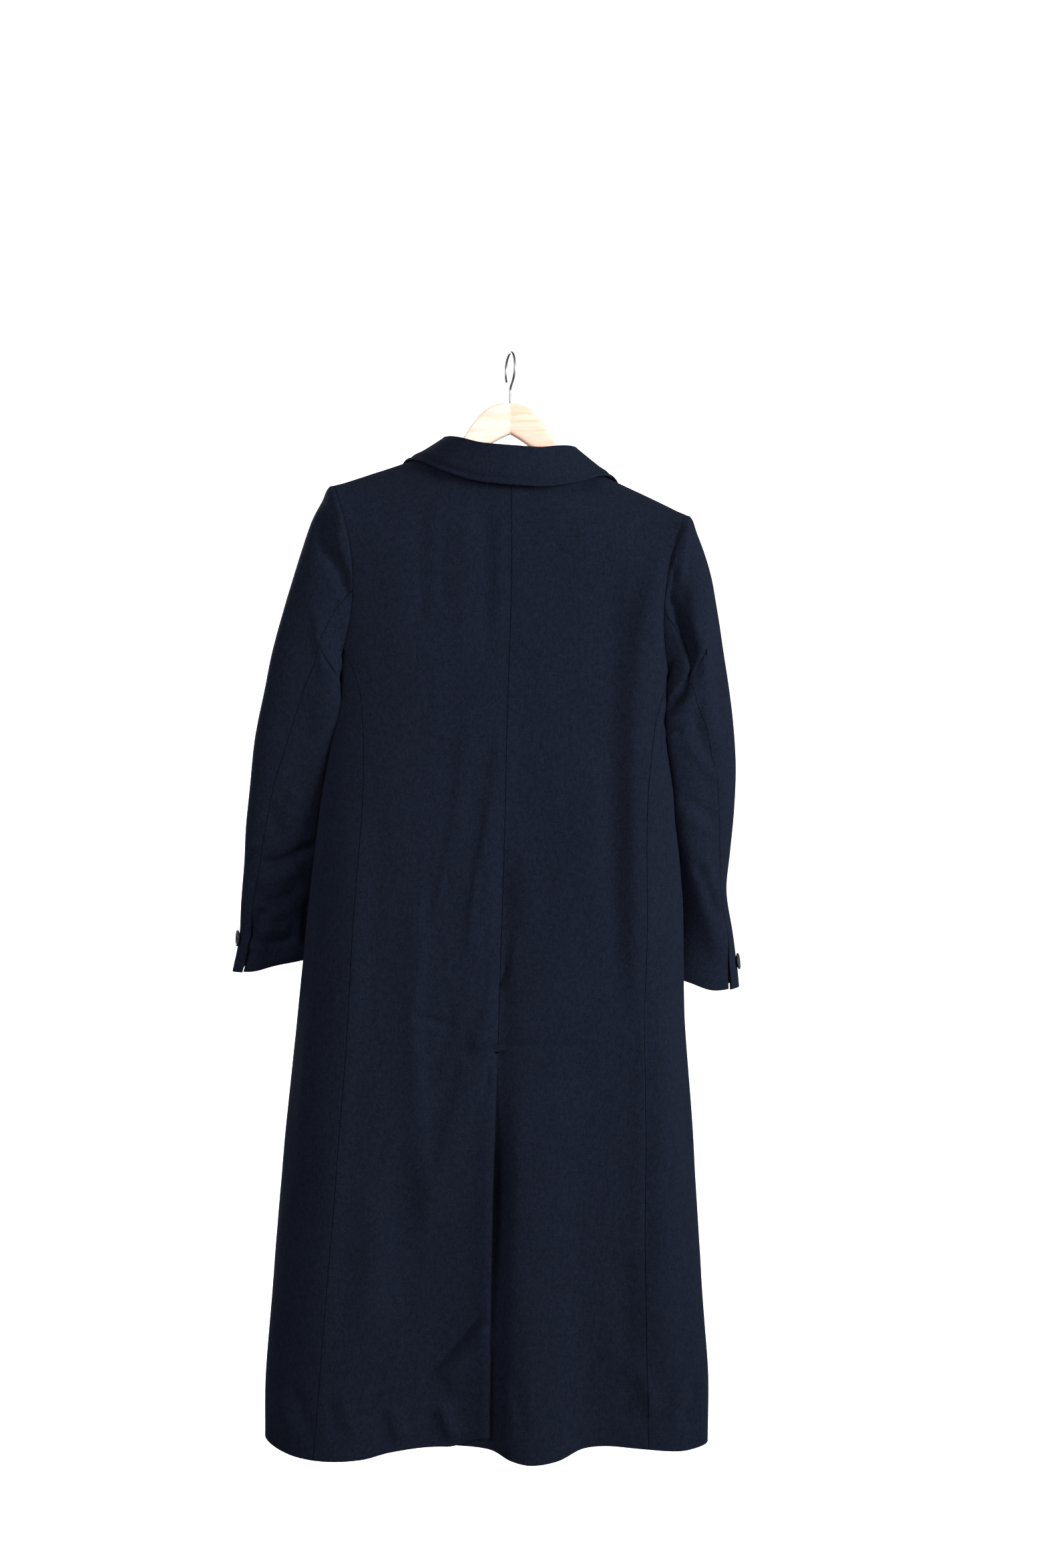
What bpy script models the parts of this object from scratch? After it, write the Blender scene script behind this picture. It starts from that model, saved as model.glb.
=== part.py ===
"""A long tailored coat on its wooden hanger, seen from the back at azimuth 0.

Metres, +Z up, +X to the wearer's right, +Y the way the wearer faces. The origin is where
the hook bears on its rail. The coat is laid out straight and symmetric first, and hang()
then tilts it and lets it sway to one side, as it hangs.
"""

import math

import bmesh
import bpy
from mathutils import Vector

# Cloth and seams
CLOTH = 0.0022
GAP = 0.0003
LAP_DEPTH = 0.0042

# Shoulders: neck point, shoulder point, and the rounding from the ridge down to the sheets
NECK_X = 0.088
NECK_Z = -0.129
NECK_DROP = 0.020
NECK_DEPTH = 0.062
SHOULDER_X = 0.2145
SHOULDER_Z = -0.1835
SHOULDER_ROUNDING = 0.110
SHOULDER_SLOPE = (NECK_Z - SHOULDER_Z) / (SHOULDER_X - NECK_X)

# Armhole loop, from the shoulder point round the back or the front to the underarm
UNDERARM_X = 0.208
UNDERARM_Z = -0.420
ARMHOLE_DEPTH = 0.060
ARMHOLE_CUP = 0.025
ARMHOLE_EGG = 0.25
SIDE_TOP_Z = -0.383

# Rings of the body and its roundness as a superellipse
ROUND = 2.4
HEM_Z = -1.336
FLUTES_FROM_Z = -0.52
FLUTES_GROWTH = 1.15

# Back vent and front edge
VENT_TOP_Z = -0.843
VENT_LAP = 0.040
VENT_STEP = 0.015
VENT_CLEAR = 0.004
VENT_COLUMNS = 3
VENT_MIDDLE_SHARE = 0.45
CORNER_LIFT = 0.016
CORNER_TOP_Z = -1.17
CORNER_X = -0.048
CORNER_REACH = 0.052
FRONT_LAP = 0.025
BREAK_Z = -0.450
UNDER_LAP_X = 0.065
UNDER_LAP_REACH = 0.035
UNDER_LAP_TOP_Z = -0.27
UNDER_LAP_EASE = 0.08

# Heights of the rows that all body panels share, below the top of the side seams
LEVELS = [
    SIDE_TOP_Z, -0.415, BREAK_Z, -0.495, -0.550, -0.610, -0.670, -0.730, -0.790,
    VENT_TOP_Z, VENT_TOP_Z - VENT_STEP, VENT_TOP_Z - VENT_STEP - VENT_LAP,
    -0.950, -1.010, -1.070, -1.130, -1.190, -1.250, -1.300, HEM_Z,
]
# Shares of the way from the shoulder down to the first of those rows
TOP_SHARES = [0.0, 0.008, 0.035, 0.10, 0.22, 0.42, 0.65, 0.82]
# The one of them where the sleeve's hind seam starts, and the parts across a side body
HIND_SEAM_SHARE = 0.65
SIDE_COLUMNS = 8
# Rows of a side body that follow the dip of the underarm
DIP_ROWS = 4
# Shares of the way from the centre line to the outer edge of a back or a front
ACROSS = [0.0, 0.10, 0.20, 0.30, NECK_X / SHOULDER_X, 0.51, 0.61, 0.71, 0.81, 0.89, 0.95, 1.0]


class Table:
    """Rows of named columns, read smoothly between the rows by the first column."""

    def __init__(self, columns, rows):
        self.columns = columns.split()
        self.rows = sorted(rows)

    def read(self, column, key):
        index = self.columns.index(column)
        keys = [row[0] for row in self.rows]
        values = [row[index] for row in self.rows]
        if key <= keys[0]:
            return values[0]
        if key >= keys[-1]:
            return values[-1]
        low = max(i for i in range(len(keys) - 1) if keys[i] <= key)
        span = keys[low + 1] - keys[low]
        share = (key - keys[low]) / span
        start = self.slope(keys, values, low) * span
        end = self.slope(keys, values, low + 1) * span
        square = share * share
        cube = square * share
        return (
            (2 * cube - 3 * square + 1) * values[low]
            + (cube - 2 * square + share) * start
            + (3 * square - 2 * cube) * values[low + 1]
            + (cube - square) * end
        )

    @staticmethod
    def slope(keys, values, index):
        before = max(index - 1, 0)
        after = min(index + 1, len(keys) - 1)
        return (values[after] - values[before]) / (keys[after] - keys[before])


def loop_angle(height):
    """Angle in degrees on the back half of the armhole loop at a height."""
    middle = (SHOULDER_Z + UNDERARM_Z) / 2
    half = (SHOULDER_Z - UNDERARM_Z) / 2
    return math.degrees(math.acos(max(-1.0, min(1.0, (height - middle) / half))))


def armhole(angle):
    """Loop of the armhole on the right: 0 at the shoulder point, 90 degrees at the back."""
    middle = (SHOULDER_Z + UNDERARM_Z) / 2
    half = (SHOULDER_Z - UNDERARM_Z) / 2
    spread = (SHOULDER_X - UNDERARM_X) / 2
    x = (SHOULDER_X + UNDERARM_X) / 2 + spread * math.cos(angle)
    x -= ARMHOLE_CUP * math.sin(angle) ** 2
    y = -ARMHOLE_DEPTH * math.sin(angle) * (1 + ARMHOLE_EGG * math.cos(angle))
    return Vector((x, y, middle + half * math.cos(angle)))


def armhole_at(height):
    """Back half of the armhole loop at a height."""
    return armhole(math.radians(loop_angle(height)))


# How the coat hangs: its sway to the left and its tilt, which fades down to the hem
SWAY = Table("height shift tilt", [
    (-0.050, 0.000, 0.0500),
    (-0.130, 0.000, 0.0825),
    (-0.200, 0.000, 0.0825),
    (-0.300, -0.001, 0.0760),
    (-0.420, -0.006, 0.0690),
    (-0.600, -0.0135, 0.0580),
    (-0.800, -0.022, 0.0465),
    (-1.050, -0.0265, 0.0310),
    (-1.340, -0.0295, 0.0136),
])
# Rings of the body from the underarm to the hem
BODY = Table("height half_width back front", [
    (-0.149, 0.2148, 0.062, 0.050),
    (-0.200, 0.2148, 0.072, 0.060),
    (-0.290, 0.2148, 0.077, 0.069),
    (SIDE_TOP_Z, 0.2108, 0.077, 0.077),
    (-0.420, 0.2098, 0.077, 0.077),
    (-0.450, 0.2126, 0.076, 0.076),
    (-0.510, 0.2160, 0.075, 0.074),
    (-0.600, 0.2235, 0.073, 0.072),
    (-0.700, 0.2290, 0.071, 0.073),
    (-0.800, 0.2350, 0.070, 0.075),
    (-0.960, 0.2490, 0.070, 0.077),
    (-1.130, 0.2615, 0.068, 0.077),
    (-1.250, 0.2722, 0.064, 0.076),
    (HEM_Z, 0.2730, 0.062, 0.075),
])
# Flutes of the hem: share of the half width, and depth before the sides round away
HEM_BACK = Table("across depth", [
    (-1.00, 0.066), (-0.84, 0.094), (-0.68, 0.099), (-0.51, 0.085), (-0.40, 0.055),
    (-0.26, 0.037), (-0.12, 0.036), (0.02, 0.047), (0.11, 0.075), (0.20, 0.088),
    (0.32, 0.074), (0.43, 0.037), (0.54, 0.030), (0.72, 0.046), (0.87, 0.060), (1.00, 0.055),
])
HEM_FRONT = Table("across depth", [
    (-1.00, 0.050), (-0.80, 0.062), (-0.62, 0.096), (-0.44, 0.082), (-0.27, 0.054),
    (-0.08, 0.066), (0.10, 0.070), (0.26, 0.050), (0.42, 0.078), (0.60, 0.094),
    (0.80, 0.064), (1.00, 0.048),
])
# Seams that run down the body: the centre back, and the seams beside each side body
CENTRE_BACK = Table("height x", [
    (-0.149, 0.000), (-0.200, 0.002), (-0.420, 0.004), (-0.660, 0.008), (-0.850, 0.009),
    (-1.050, 0.006), (HEM_Z, 0.005),
])
SIDE_SEAMS = Table("height back_left back_right front", [
    (SIDE_TOP_Z, *[armhole_at(SIDE_TOP_Z).x] * 3),
    (-0.415, 0.1790, 0.1860, 0.1900),
    (-0.450, 0.1700, 0.1785, 0.1860),
    (-0.550, 0.1640, 0.1730, 0.1850),
    (-0.700, 0.1680, 0.1800, 0.1890),
    (-0.850, 0.1710, 0.1845, 0.1950),
    (-0.960, 0.1780, 0.1880, 0.2000),
    (-1.080, 0.1860, 0.1890, 0.2050),
    (HEM_Z, 0.2060, 0.1970, 0.2160),
])
# Sleeve rings from the armhole to the cuff. Outer and inner name the points farthest from and
# nearest to the body, cup pulls a ring's back and front in, lean shears it, hind is the seam
SLEEVE_COLUMNS = "station outer_x outer_z inner_x inner_z mid_y depth cup lean hind"
SLEEVES = {
    "left": Table(SLEEVE_COLUMNS, [
        (0, SHOULDER_X, SHOULDER_Z, UNDERARM_X, UNDERARM_Z, 0.0, ARMHOLE_DEPTH, ARMHOLE_CUP, 0.0, 95.5),
        (1, 0.2265, -0.1985, 0.2105, -0.424, 0.000, 0.0620, 0.013, 0.000, 102),
        (2, 0.2400, -0.223, 0.2125, -0.430, 0.000, 0.0630, 0.005, 0.000, 108),
        (3, 0.2520, -0.258, 0.2140, -0.438, 0.000, 0.0630, 0.001, 0.001, 108),
        (4, 0.2635, -0.297, 0.2150, -0.449, 0.001, 0.0620, 0.006, 0.003, 101),
        (5, 0.2750, -0.340, 0.2152, -0.463, 0.003, 0.0600, 0.012, 0.003, 92),
        (6, 0.2860, -0.387, 0.2162, -0.481, 0.006, 0.0580, 0.016, 0.002, 81),
        (7, 0.2955, -0.437, 0.2179, -0.505, 0.011, 0.0560, 0.019, 0.001, 73),
        (8, 0.3050, -0.492, 0.2206, -0.540, 0.018, 0.0540, 0.017, 0.000, 68),
        (9, 0.3100, -0.545, 0.2240, -0.583, 0.026, 0.0520, 0.009, 0.001, 64),
        (10, 0.3150, -0.598, 0.2260, -0.628, 0.035, 0.0500, 0.005, 0.000, 62),
        (11, 0.3170, -0.648, 0.2255, -0.668, 0.045, 0.0480, 0.002, 0.000, 58),
        (12, 0.3200, -0.697, 0.2230, -0.705, 0.056, 0.0450, 0.000, 0.000, 51),
        (13, 0.3250, -0.741, 0.2200, -0.736, 0.064, 0.0430, 0.000, 0.000, 47),
        (14, 0.3300, -0.783, 0.2180, -0.761, 0.069, 0.0425, 0.000, 0.000, 45),
    ]),
    "right": Table(SLEEVE_COLUMNS, [
        (0, SHOULDER_X, SHOULDER_Z, UNDERARM_X, UNDERARM_Z, 0.0, ARMHOLE_DEPTH, ARMHOLE_CUP, 0.0, 95.5),
        (1, 0.2255, -0.199, 0.2105, -0.424, 0.000, 0.0620, 0.013, 0.000, 102),
        (2, 0.2365, -0.224, 0.2125, -0.430, 0.000, 0.0630, 0.005, 0.000, 107),
        (3, 0.2470, -0.258, 0.2140, -0.438, 0.000, 0.0630, 0.002, 0.000, 108),
        (4, 0.2555, -0.297, 0.2150, -0.449, 0.001, 0.0620, 0.008, 0.000, 104),
        (5, 0.2640, -0.340, 0.2160, -0.463, 0.003, 0.0610, 0.011, 0.000, 98),
        (6, 0.2735, -0.387, 0.2163, -0.481, 0.006, 0.0590, 0.015, -0.003, 86),
        (7, 0.2822, -0.437, 0.2180, -0.505, 0.011, 0.0580, 0.018, -0.006, 74),
        (8, 0.2882, -0.492, 0.2207, -0.540, 0.018, 0.0560, 0.015, -0.008, 69),
        (9, 0.2885, -0.545, 0.2235, -0.583, 0.026, 0.0540, 0.010, -0.010, 70),
        (10, 0.2872, -0.598, 0.2240, -0.628, 0.035, 0.0520, 0.006, -0.010, 68),
        (11, 0.2870, -0.648, 0.2215, -0.668, 0.045, 0.0500, 0.003, -0.007, 60),
        (12, 0.2945, -0.697, 0.2170, -0.705, 0.055, 0.0470, 0.000, -0.003, 50),
        (13, 0.3050, -0.741, 0.2120, -0.736, 0.062, 0.0440, 0.000, 0.000, 46),
        (14, 0.3130, -0.778, 0.2080, -0.759, 0.067, 0.0430, 0.000, 0.000, 47),
    ]),
}
CUFF_STATION = 14
CUFF_VENT_STATION = 12
CUFF_FLARE = 0.004
# Turned lapels and the collar that meets them at the gorge
GORGE_Z = -0.190
LAPEL_POINT = (0.148, -0.224)
LAPEL_BELLY = (0.112, -0.330)
LAPEL_LIFT = 0.0036
CROSSING_Z = -0.366
ROLL_RADIUS = (LAPEL_LIFT + CLOTH) / 2
# The collar from the centre back round to the notch: seam at its foot, roll and outer edge
COLLAR_COLUMNS = "along foot_x foot_y foot_z roll_x roll_y roll_z edge_x edge_y edge_z arch sag"
COLLAR = Table(COLLAR_COLUMNS, [
    (0.00, 0.000, -0.0620, -0.1486, 0.000, -0.0650, -0.1264, 0.000, -0.0765, -0.1765, 0.003, 0.0),
    (0.22, 0.034, -0.0572, -0.1468, 0.033, -0.0590, -0.1245, 0.045, -0.0720, -0.1735, 0.003, 0.0),
    (0.40, 0.061, -0.0440, -0.1420, 0.056, -0.0430, -0.1180, 0.084, -0.0580, -0.1615, 0.003, 0.0),
    (0.53, 0.079, -0.0258, -0.1358, 0.071, -0.0220, -0.1135, 0.110, -0.0390, -0.1480, 0.001, 0.0),
    (0.64, 0.086, 0.0000, -0.1278, 0.077, 0.0020, -0.1125, 0.1285, -0.0060, -0.1418, 0.000, 0.0),
    (0.78, 0.0795, 0.0330, -0.1465, 0.079, 0.0300, -0.1265, 0.137, 0.0360, -0.1535, 0.004, 0.0),
    (0.92, 0.0680, 0.0520, -0.1760, 0.068, 0.0540, -0.1660, 0.131, 0.0500, -0.1730, 0.006, 0.008),
    (1.00, 0.0660, 0.0560, -0.1885, 0.066, 0.0600, -0.1790, 0.129, 0.0540, -0.1790, 0.006, 0.026),
])
COLLAR_ROLL = 0.0034
NOTCH_SHARE = 0.65
# Buttons: radius and thickness, where the front ones sit
FRONT_BUTTON_RADIUS = 0.0125
CUFF_BUTTON_RADIUS = 0.0105
BUTTON_THICKNESS = 0.0034
BUTTON_STAND = 0.0008
FRONT_BUTTON_HEIGHTS = [-0.475, -0.600, -0.725]
# Hanger: apex of the wood, arm profile and the hook's wire
APEX_Z = -0.0607
ARM_END = 0.206
ARM_CLEARANCE = 0.0006


def arm_top(x):
    """Top of a hanger arm, just under the cloth of the shoulder."""
    cloth = CLOTH * math.hypot(1.0, SHOULDER_SLOPE)
    return NECK_Z - (x - NECK_X) * SHOULDER_SLOPE - cloth - ARM_CLEARANCE


HANGER = Table("x top bottom half_thickness", [
    (0.000, APEX_Z, -0.0985, 0.0075),
    (0.012, -0.0618, -0.1050, 0.0075),
    (0.024, -0.0665, -0.1125, 0.0075),
    (0.036, -0.0765, -0.1190, 0.0075),
    (0.047, -0.0905, -0.1250, 0.0076),
    (0.056, -0.1050, -0.1320, 0.0078),
    (0.070, -0.1235, -0.1430, 0.0080),
    (0.082, -0.1318, -0.1500, 0.0080),
    (0.096, arm_top(0.096), -0.1560, 0.0085),
    (0.120, arm_top(0.120), -0.1660, 0.0090),
    (0.150, arm_top(0.150), -0.1780, 0.0095),
    (0.180, arm_top(0.180), -0.1890, 0.0095),
    (ARM_END, arm_top(ARM_END), -0.2000, 0.0090),
])
HOOK_WIRE = 0.0016
HOOK_RADIUS = 0.0200
HOOK_YAW = math.radians(17)
HOOK_TIP_ANGLE = math.radians(-35)
STEM_TOP_Z = -0.0465

COLLECTION = "tailored_coat_on_hanger"


def smooth(share):
    """Ease from 0 to 1, flat at both ends."""
    share = min(1.0, max(0.0, share))
    return share * share * (3 - 2 * share)


def hang(point):
    """Take a point of the straight coat to where it hangs."""
    shift = SWAY.read("shift", point.z)
    tilt = SWAY.read("tilt", point.z)
    return Vector((point.x + shift, point.y, point.z - tilt * point.x))


def make_material(name, colour, roughness, metallic=0.0):
    material = bpy.data.materials.new(name)
    material.use_nodes = True
    shader = material.node_tree.nodes["Principled BSDF"]
    shader.inputs["Base Color"].default_value = (*colour, 1.0)
    shader.inputs["Roughness"].default_value = roughness
    shader.inputs["Metallic"].default_value = metallic
    return material


def add_mesh_object(name, points, faces, material):
    """A closed mesh with its faces pointing out."""
    mesh = bpy.data.meshes.new(name)
    mesh.from_pydata([tuple(point) for point in points], [], faces)
    work = bmesh.new()
    work.from_mesh(mesh)
    bmesh.ops.recalc_face_normals(work, faces=work.faces)
    if work.calc_volume(signed=True) < 0:
        bmesh.ops.reverse_faces(work, faces=work.faces)
    work.to_mesh(mesh)
    work.free()
    mesh.materials.append(material)
    mesh.shade_smooth()
    mesh.set_sharp_from_angle(angle=math.radians(50))
    item = bpy.data.objects.new(name, mesh)
    bpy.data.collections[COLLECTION].objects.link(item)
    return item


def add_wall(name, outer, inner, material):
    """Cloth between two grids of straight points, with the same diagonals on both faces."""
    rows = len(outer)
    columns = len(outer[0])
    layer = rows * columns
    points = [hang(point) for grid in (outer, inner) for row in grid for point in row]
    faces = []
    for row in range(rows - 1):
        for column in range(columns - 1):
            a = row * columns + column
            b = a + 1
            c = a + columns + 1
            d = a + columns
            faces += [(a, b, c), (a, c, d)]
            faces += [(c + layer, b + layer, a + layer), (d + layer, c + layer, a + layer)]
    rim = list(range(columns))
    rim += [row * columns + columns - 1 for row in range(1, rows)]
    rim += [(rows - 1) * columns + column for column in range(columns - 2, -1, -1)]
    rim += [row * columns for row in range(rows - 2, 0, -1)]
    for here, following in zip(rim, rim[1:] + rim[:1]):
        faces += [(following, here, here + layer), (following, here + layer, following + layer)]
    return add_mesh_object(name, points, faces, material)


def part_seams(rows, start=True, end=True):
    """Draw the first and last point of each row in by half the seam gap."""
    for row in rows:
        if start:
            row[0] = row[0] + (row[1] - row[0]).normalized() * GAP / 2
        if end:
            row[-1] = row[-1] + (row[-2] - row[-1]).normalized() * GAP / 2


def rounding(across):
    """Depth left at a share of the half width, 1 in the middle and 0 at the side."""
    return max(0.0, 1 - min(1.0, abs(across)) ** ROUND) ** (1 / ROUND)


def flute_weight(height):
    """How far the rings have passed from plain to the fluted hem."""
    share = (FLUTES_FROM_Z - height) / (FLUTES_FROM_Z - HEM_Z)
    return min(1.0, max(0.0, share)) ** FLUTES_GROWTH


def sheet_depth(face, height, across):
    """Depth of the back or front sheet before its sides round away."""
    hem = HEM_BACK if face == "back" else HEM_FRONT
    weight = flute_weight(height)
    return (1 - weight) * BODY.read(face, height) + weight * hem.read("depth", across)


def ring_point(face, height, x):
    """Point of a body ring on its back or front at a signed x."""
    across = x / BODY.read("half_width", height)
    depth = rounding(across) * sheet_depth(face, height, across)
    return Vector((x, -depth if face == "back" else depth, height))


def side_point(height, angle, side):
    """Point of a body ring by angle: below 0 towards the back, above 0 towards the front."""
    across = math.cos(angle) ** (2 / ROUND)
    face = "back" if angle < 0 else "front"
    reach = abs(math.sin(angle)) ** (2 / ROUND)
    depth = reach * sheet_depth(face, height, across * side)
    x = side * across * BODY.read("half_width", height)
    return Vector((x, math.copysign(depth, angle), height))


def outward(point_at, first, second, step_first, step_second):
    """Unit normal of a surface point_at(first, second), away from the coat's middle."""
    here = point_at(first, second)
    along = point_at(first + step_first, second) - point_at(first - step_first, second)
    across = point_at(first, second + step_second) - point_at(first, second - step_second)
    normal = along.cross(across).normalized()
    away = Vector((here.x, here.y * 2, 0.0))
    return normal if normal.dot(away) > 0 else -normal


def ring_normal(face, height, x):
    return outward(lambda z, place: ring_point(face, z, place), height, x, 0.004, 0.002)


def side_normal(height, angle, side):
    return outward(lambda z, turn: side_point(z, turn, side), height, angle, 0.004, 0.02)


def side_angle(seam, height):
    """Angle on the ring where a seam beside the side body runs."""
    across = SIDE_SEAMS.read(seam, height) / BODY.read("half_width", height)
    angle = math.acos(min(1.0, across) ** (ROUND / 2))
    return angle if seam == "front" else -angle


def roll_line(height):
    """Inner edge of a front: the roll line down to the break, then the overlapping edge."""
    if height < BREAK_Z:
        return -FRONT_LAP
    share = (height - BREAK_Z) / (NECK_Z - BREAK_Z)
    return -FRONT_LAP + (NECK_X + FRONT_LAP) * share


def top_edge(x):
    """Height of the back's top edge: the neckline, then the shoulder seam."""
    if x > NECK_X:
        return NECK_Z - (x - NECK_X) * SHOULDER_SLOPE
    return NECK_Z - NECK_DROP * math.sqrt(1 - (x / NECK_X) ** 2)


def upper_point(face, side, across, down):
    """Back or front above the side seams: across from the inner edge, down from the top."""
    edge = armhole_at(SHOULDER_Z + (SIDE_TOP_Z - SHOULDER_Z) * down)
    if face == "back":
        top_x = SHOULDER_X * across
        height = top_edge(top_x) + (SIDE_TOP_Z - top_edge(top_x)) * down
        centre = side * CENTRE_BACK.read("x", height)
        x = centre + (edge.x - centre) * across
        neck = NECK_DEPTH * math.sqrt(max(0.0, 1 - (top_x / NECK_X) ** 2))
        drop = top_edge(top_x) - height
    else:
        top_x = NECK_X + (SHOULDER_X - NECK_X) * across
        height = top_edge(top_x) + (SIDE_TOP_Z - top_edge(top_x)) * down
        inside = roll_line(NECK_Z + (SIDE_TOP_Z - NECK_Z) * down)
        x = inside + (edge.x - inside) * across
        neck = 0.0
        drop = top_edge(top_x) - height
    share = min(1.0, max(0.0, drop) / SHOULDER_ROUNDING)
    swell = math.sqrt(1 - (1 - share) ** 2)
    side_share = armhole_at(SIDE_TOP_Z).x / BODY.read("half_width", SIDE_TOP_Z)
    least = rounding(side_share)
    fullness = (rounding(side_share * x / edge.x) - least) / (1 - least)
    middle = neck * (1 - swell) + sheet_depth(face, height, 0.0) * swell
    depth = fullness * middle + (1 - fullness) * abs(edge.y)
    return Vector((side * x, -depth if face == "back" else depth, height))


def in_armhole_plane(normal, height):
    """Turn a normal into the armhole's upright plane, except near the underarm."""
    flat = Vector((0.0, normal.y, normal.z)).normalized()
    return normal.lerp(flat, smooth((height - UNDERARM_Z - 0.05) / 0.10)).normalized()


def upper_normal(face, side, across, down):
    """Unit normal there; the rims at the shoulder seam and armhole keep to their own planes."""
    if down == 0.0 and (face == "front" or SHOULDER_X * across >= NECK_X):
        seam = Vector((side * SHOULDER_SLOPE, 0.0, 1.0)).normalized()
        return seam if across < 1.0 else Vector((0.0, 0.0, 1.0))
    near = min(0.98, max(0.02, across))
    low = min(0.99, max(0.015, down))
    own = outward(
        lambda first, second: upper_point(face, side, first, second), near, low, 0.02, 0.01
    )
    if across < 1.0:
        return own
    return in_armhole_plane(own, SHOULDER_Z + (SIDE_TOP_Z - SHOULDER_Z) * down)


def upper_rows(face, side):
    """Rows of points and normals above the side seams."""
    points = []
    normals = []
    for down in TOP_SHARES:
        points.append([upper_point(face, side, across, down) for across in ACROSS])
        normals.append([upper_normal(face, side, across, down) for across in ACROSS])
    return points, normals


def lay_in(points, normals, depth):
    """Grid of points moved in along their normals."""
    return [
        [point - normal * depth for point, normal in zip(point_row, normal_row)]
        for point_row, normal_row in zip(points, normals)
    ]


def trim_top(rows, face):
    """Part the shoulder seam: top points move half the gap to their own side."""
    shift = Vector((0.0, -GAP / 2 if face == "back" else GAP / 2, 0.0))
    rows[0] = [point + shift for point in rows[0]]


def corner_lift(height, x):
    """The vent's lapping corner rides up at the hem."""
    low = smooth((CORNER_TOP_Z - height) / (CORNER_TOP_Z - HEM_Z))
    near = smooth((x - CORNER_X) / CORNER_REACH)
    return CORNER_LIFT * low * near


def vent_places(level, centre, seam):
    """Places across the right back below the vent's top, with the part under the left first."""
    lap = VENT_LAP if level < VENT_TOP_Z - VENT_STEP else 0.0
    free = centre + VENT_CLEAR
    places = [centre - lap, centre - lap * VENT_MIDDLE_SHARE + VENT_CLEAR / 2, free]
    first = ACROSS[VENT_COLUMNS - 1]
    for across in ACROSS[VENT_COLUMNS:]:
        places.append(free + (seam - free) * (across - first) / (1 - first))
    return places


def build_backs(material):
    """Two back halves: the left laps over the right's extension below the vent's top."""
    for name, side in (("left", -1), ("right", 1)):
        points, normals = upper_rows("back", side)
        for level in LEVELS:
            centre = CENTRE_BACK.read("x", level)
            seam = side * SIDE_SEAMS.read("back_" + name, level)
            places = [centre + (seam - centre) * across for across in ACROSS]
            under = 0
            if side == 1 and level < VENT_TOP_Z:
                under = VENT_COLUMNS
                places = vent_places(level, centre, seam)
            point_row = []
            normal_row = []
            for column, x in enumerate(places):
                sunk = LAP_DEPTH if column < under else 0.0
                point = ring_point("back", level, x)
                normal = ring_normal("back", level, x)
                if side == -1:
                    point.z += corner_lift(level, x)
                point_row.append(point - normal * sunk)
                normal_row.append(normal)
            points.append(point_row)
            normals.append(normal_row)
        inner = lay_in(points, normals, CLOTH)
        for rows in (points, inner):
            part_seams(rows)
            trim_top(rows, "back")
        add_wall("back_" + name, points, inner, material)


def build_fronts(material):
    """Two fronts, open down the roll lines; below the break the right laps over the left."""
    for name, side in (("left", -1), ("right", 1)):
        points, normals = upper_rows("front", side)
        for level in LEVELS:
            inside = roll_line(level)
            seam = SIDE_SEAMS.read("front", level)
            places = [inside + (seam - inside) * across for across in ACROSS]
            points.append([ring_point("front", level, side * x) for x in places])
            normals.append([ring_normal("front", level, side * x) for x in places])
        if side == -1:
            for point_row, normal_row in zip(points, normals):
                for index, (point, normal) in enumerate(zip(point_row, normal_row)):
                    point_row[index] = point - normal * under_lap(-point.x, point.z)
        inner = lay_in(points, normals, CLOTH)
        for rows in (points, inner):
            part_seams(rows)
            trim_top(rows, "front")
        add_wall("front_" + name, points, inner, material)


def under_lap(x, height):
    """How far the left front lies behind the right one near the centre front."""
    near = smooth((UNDER_LAP_X - x) / UNDER_LAP_REACH)
    return LAP_DEPTH * near * smooth((UNDER_LAP_TOP_Z - height) / UNDER_LAP_EASE)


def build_side_bodies(material):
    """A side body on each side, from the back seam round to the front seam."""
    turns = [index / SIDE_COLUMNS for index in range(SIDE_COLUMNS + 1)]
    first = math.radians(loop_angle(SIDE_TOP_Z))
    for name, side in (("left", -1), ("right", 1)):
        points = []
        normals = []
        for row, level in enumerate(LEVELS):
            start = side_angle("back_" + name, level)
            end = side_angle("front", level)
            fade = max(0.0, 1 - row / DIP_ROWS)
            point_row = []
            normal_row = []
            for turn in turns:
                angle = start + (end - start) * turn
                loop = armhole(first + (2 * math.pi - 2 * first) * turn)
                dip = loop.z - SIDE_TOP_Z
                height = level + dip * fade
                point = side_point(height, angle, side)
                if row == 0:
                    point = Vector((side * loop.x, loop.y, loop.z))
                point_row.append(point)
                normal_row.append(side_normal(height, angle, side))
            points.append(point_row)
            normals.append(normal_row)
        inner = lay_in(points, normals, CLOTH)
        for rows in (points, inner):
            part_seams(rows)
        add_wall("side_" + name, points, inner, material)


def sleeve_point(name, station, degrees):
    """Outer face of a sleeve: 0 degrees farthest from the body, 90 at the back."""
    table = SLEEVES[name]
    angle = math.radians(degrees)
    read = {column: table.read(column, station) for column in table.columns[1:]}
    middle = Vector((read["outer_x"] + read["inner_x"], 0.0, read["outer_z"] + read["inner_z"])) / 2
    half = Vector((read["outer_x"] - read["inner_x"], 0.0, read["outer_z"] - read["inner_z"])) / 2
    point = middle + half * math.cos(angle)
    point.x -= read["cup"] * math.sin(angle) ** 2 + read["lean"] * math.sin(angle)
    egg = ARMHOLE_EGG * max(0.0, 1 - station / 3)
    point.y = read["mid_y"] - read["depth"] * math.sin(angle) * (1 + egg * math.cos(angle))
    if name == "left":
        point.x = -point.x
    return point


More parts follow.
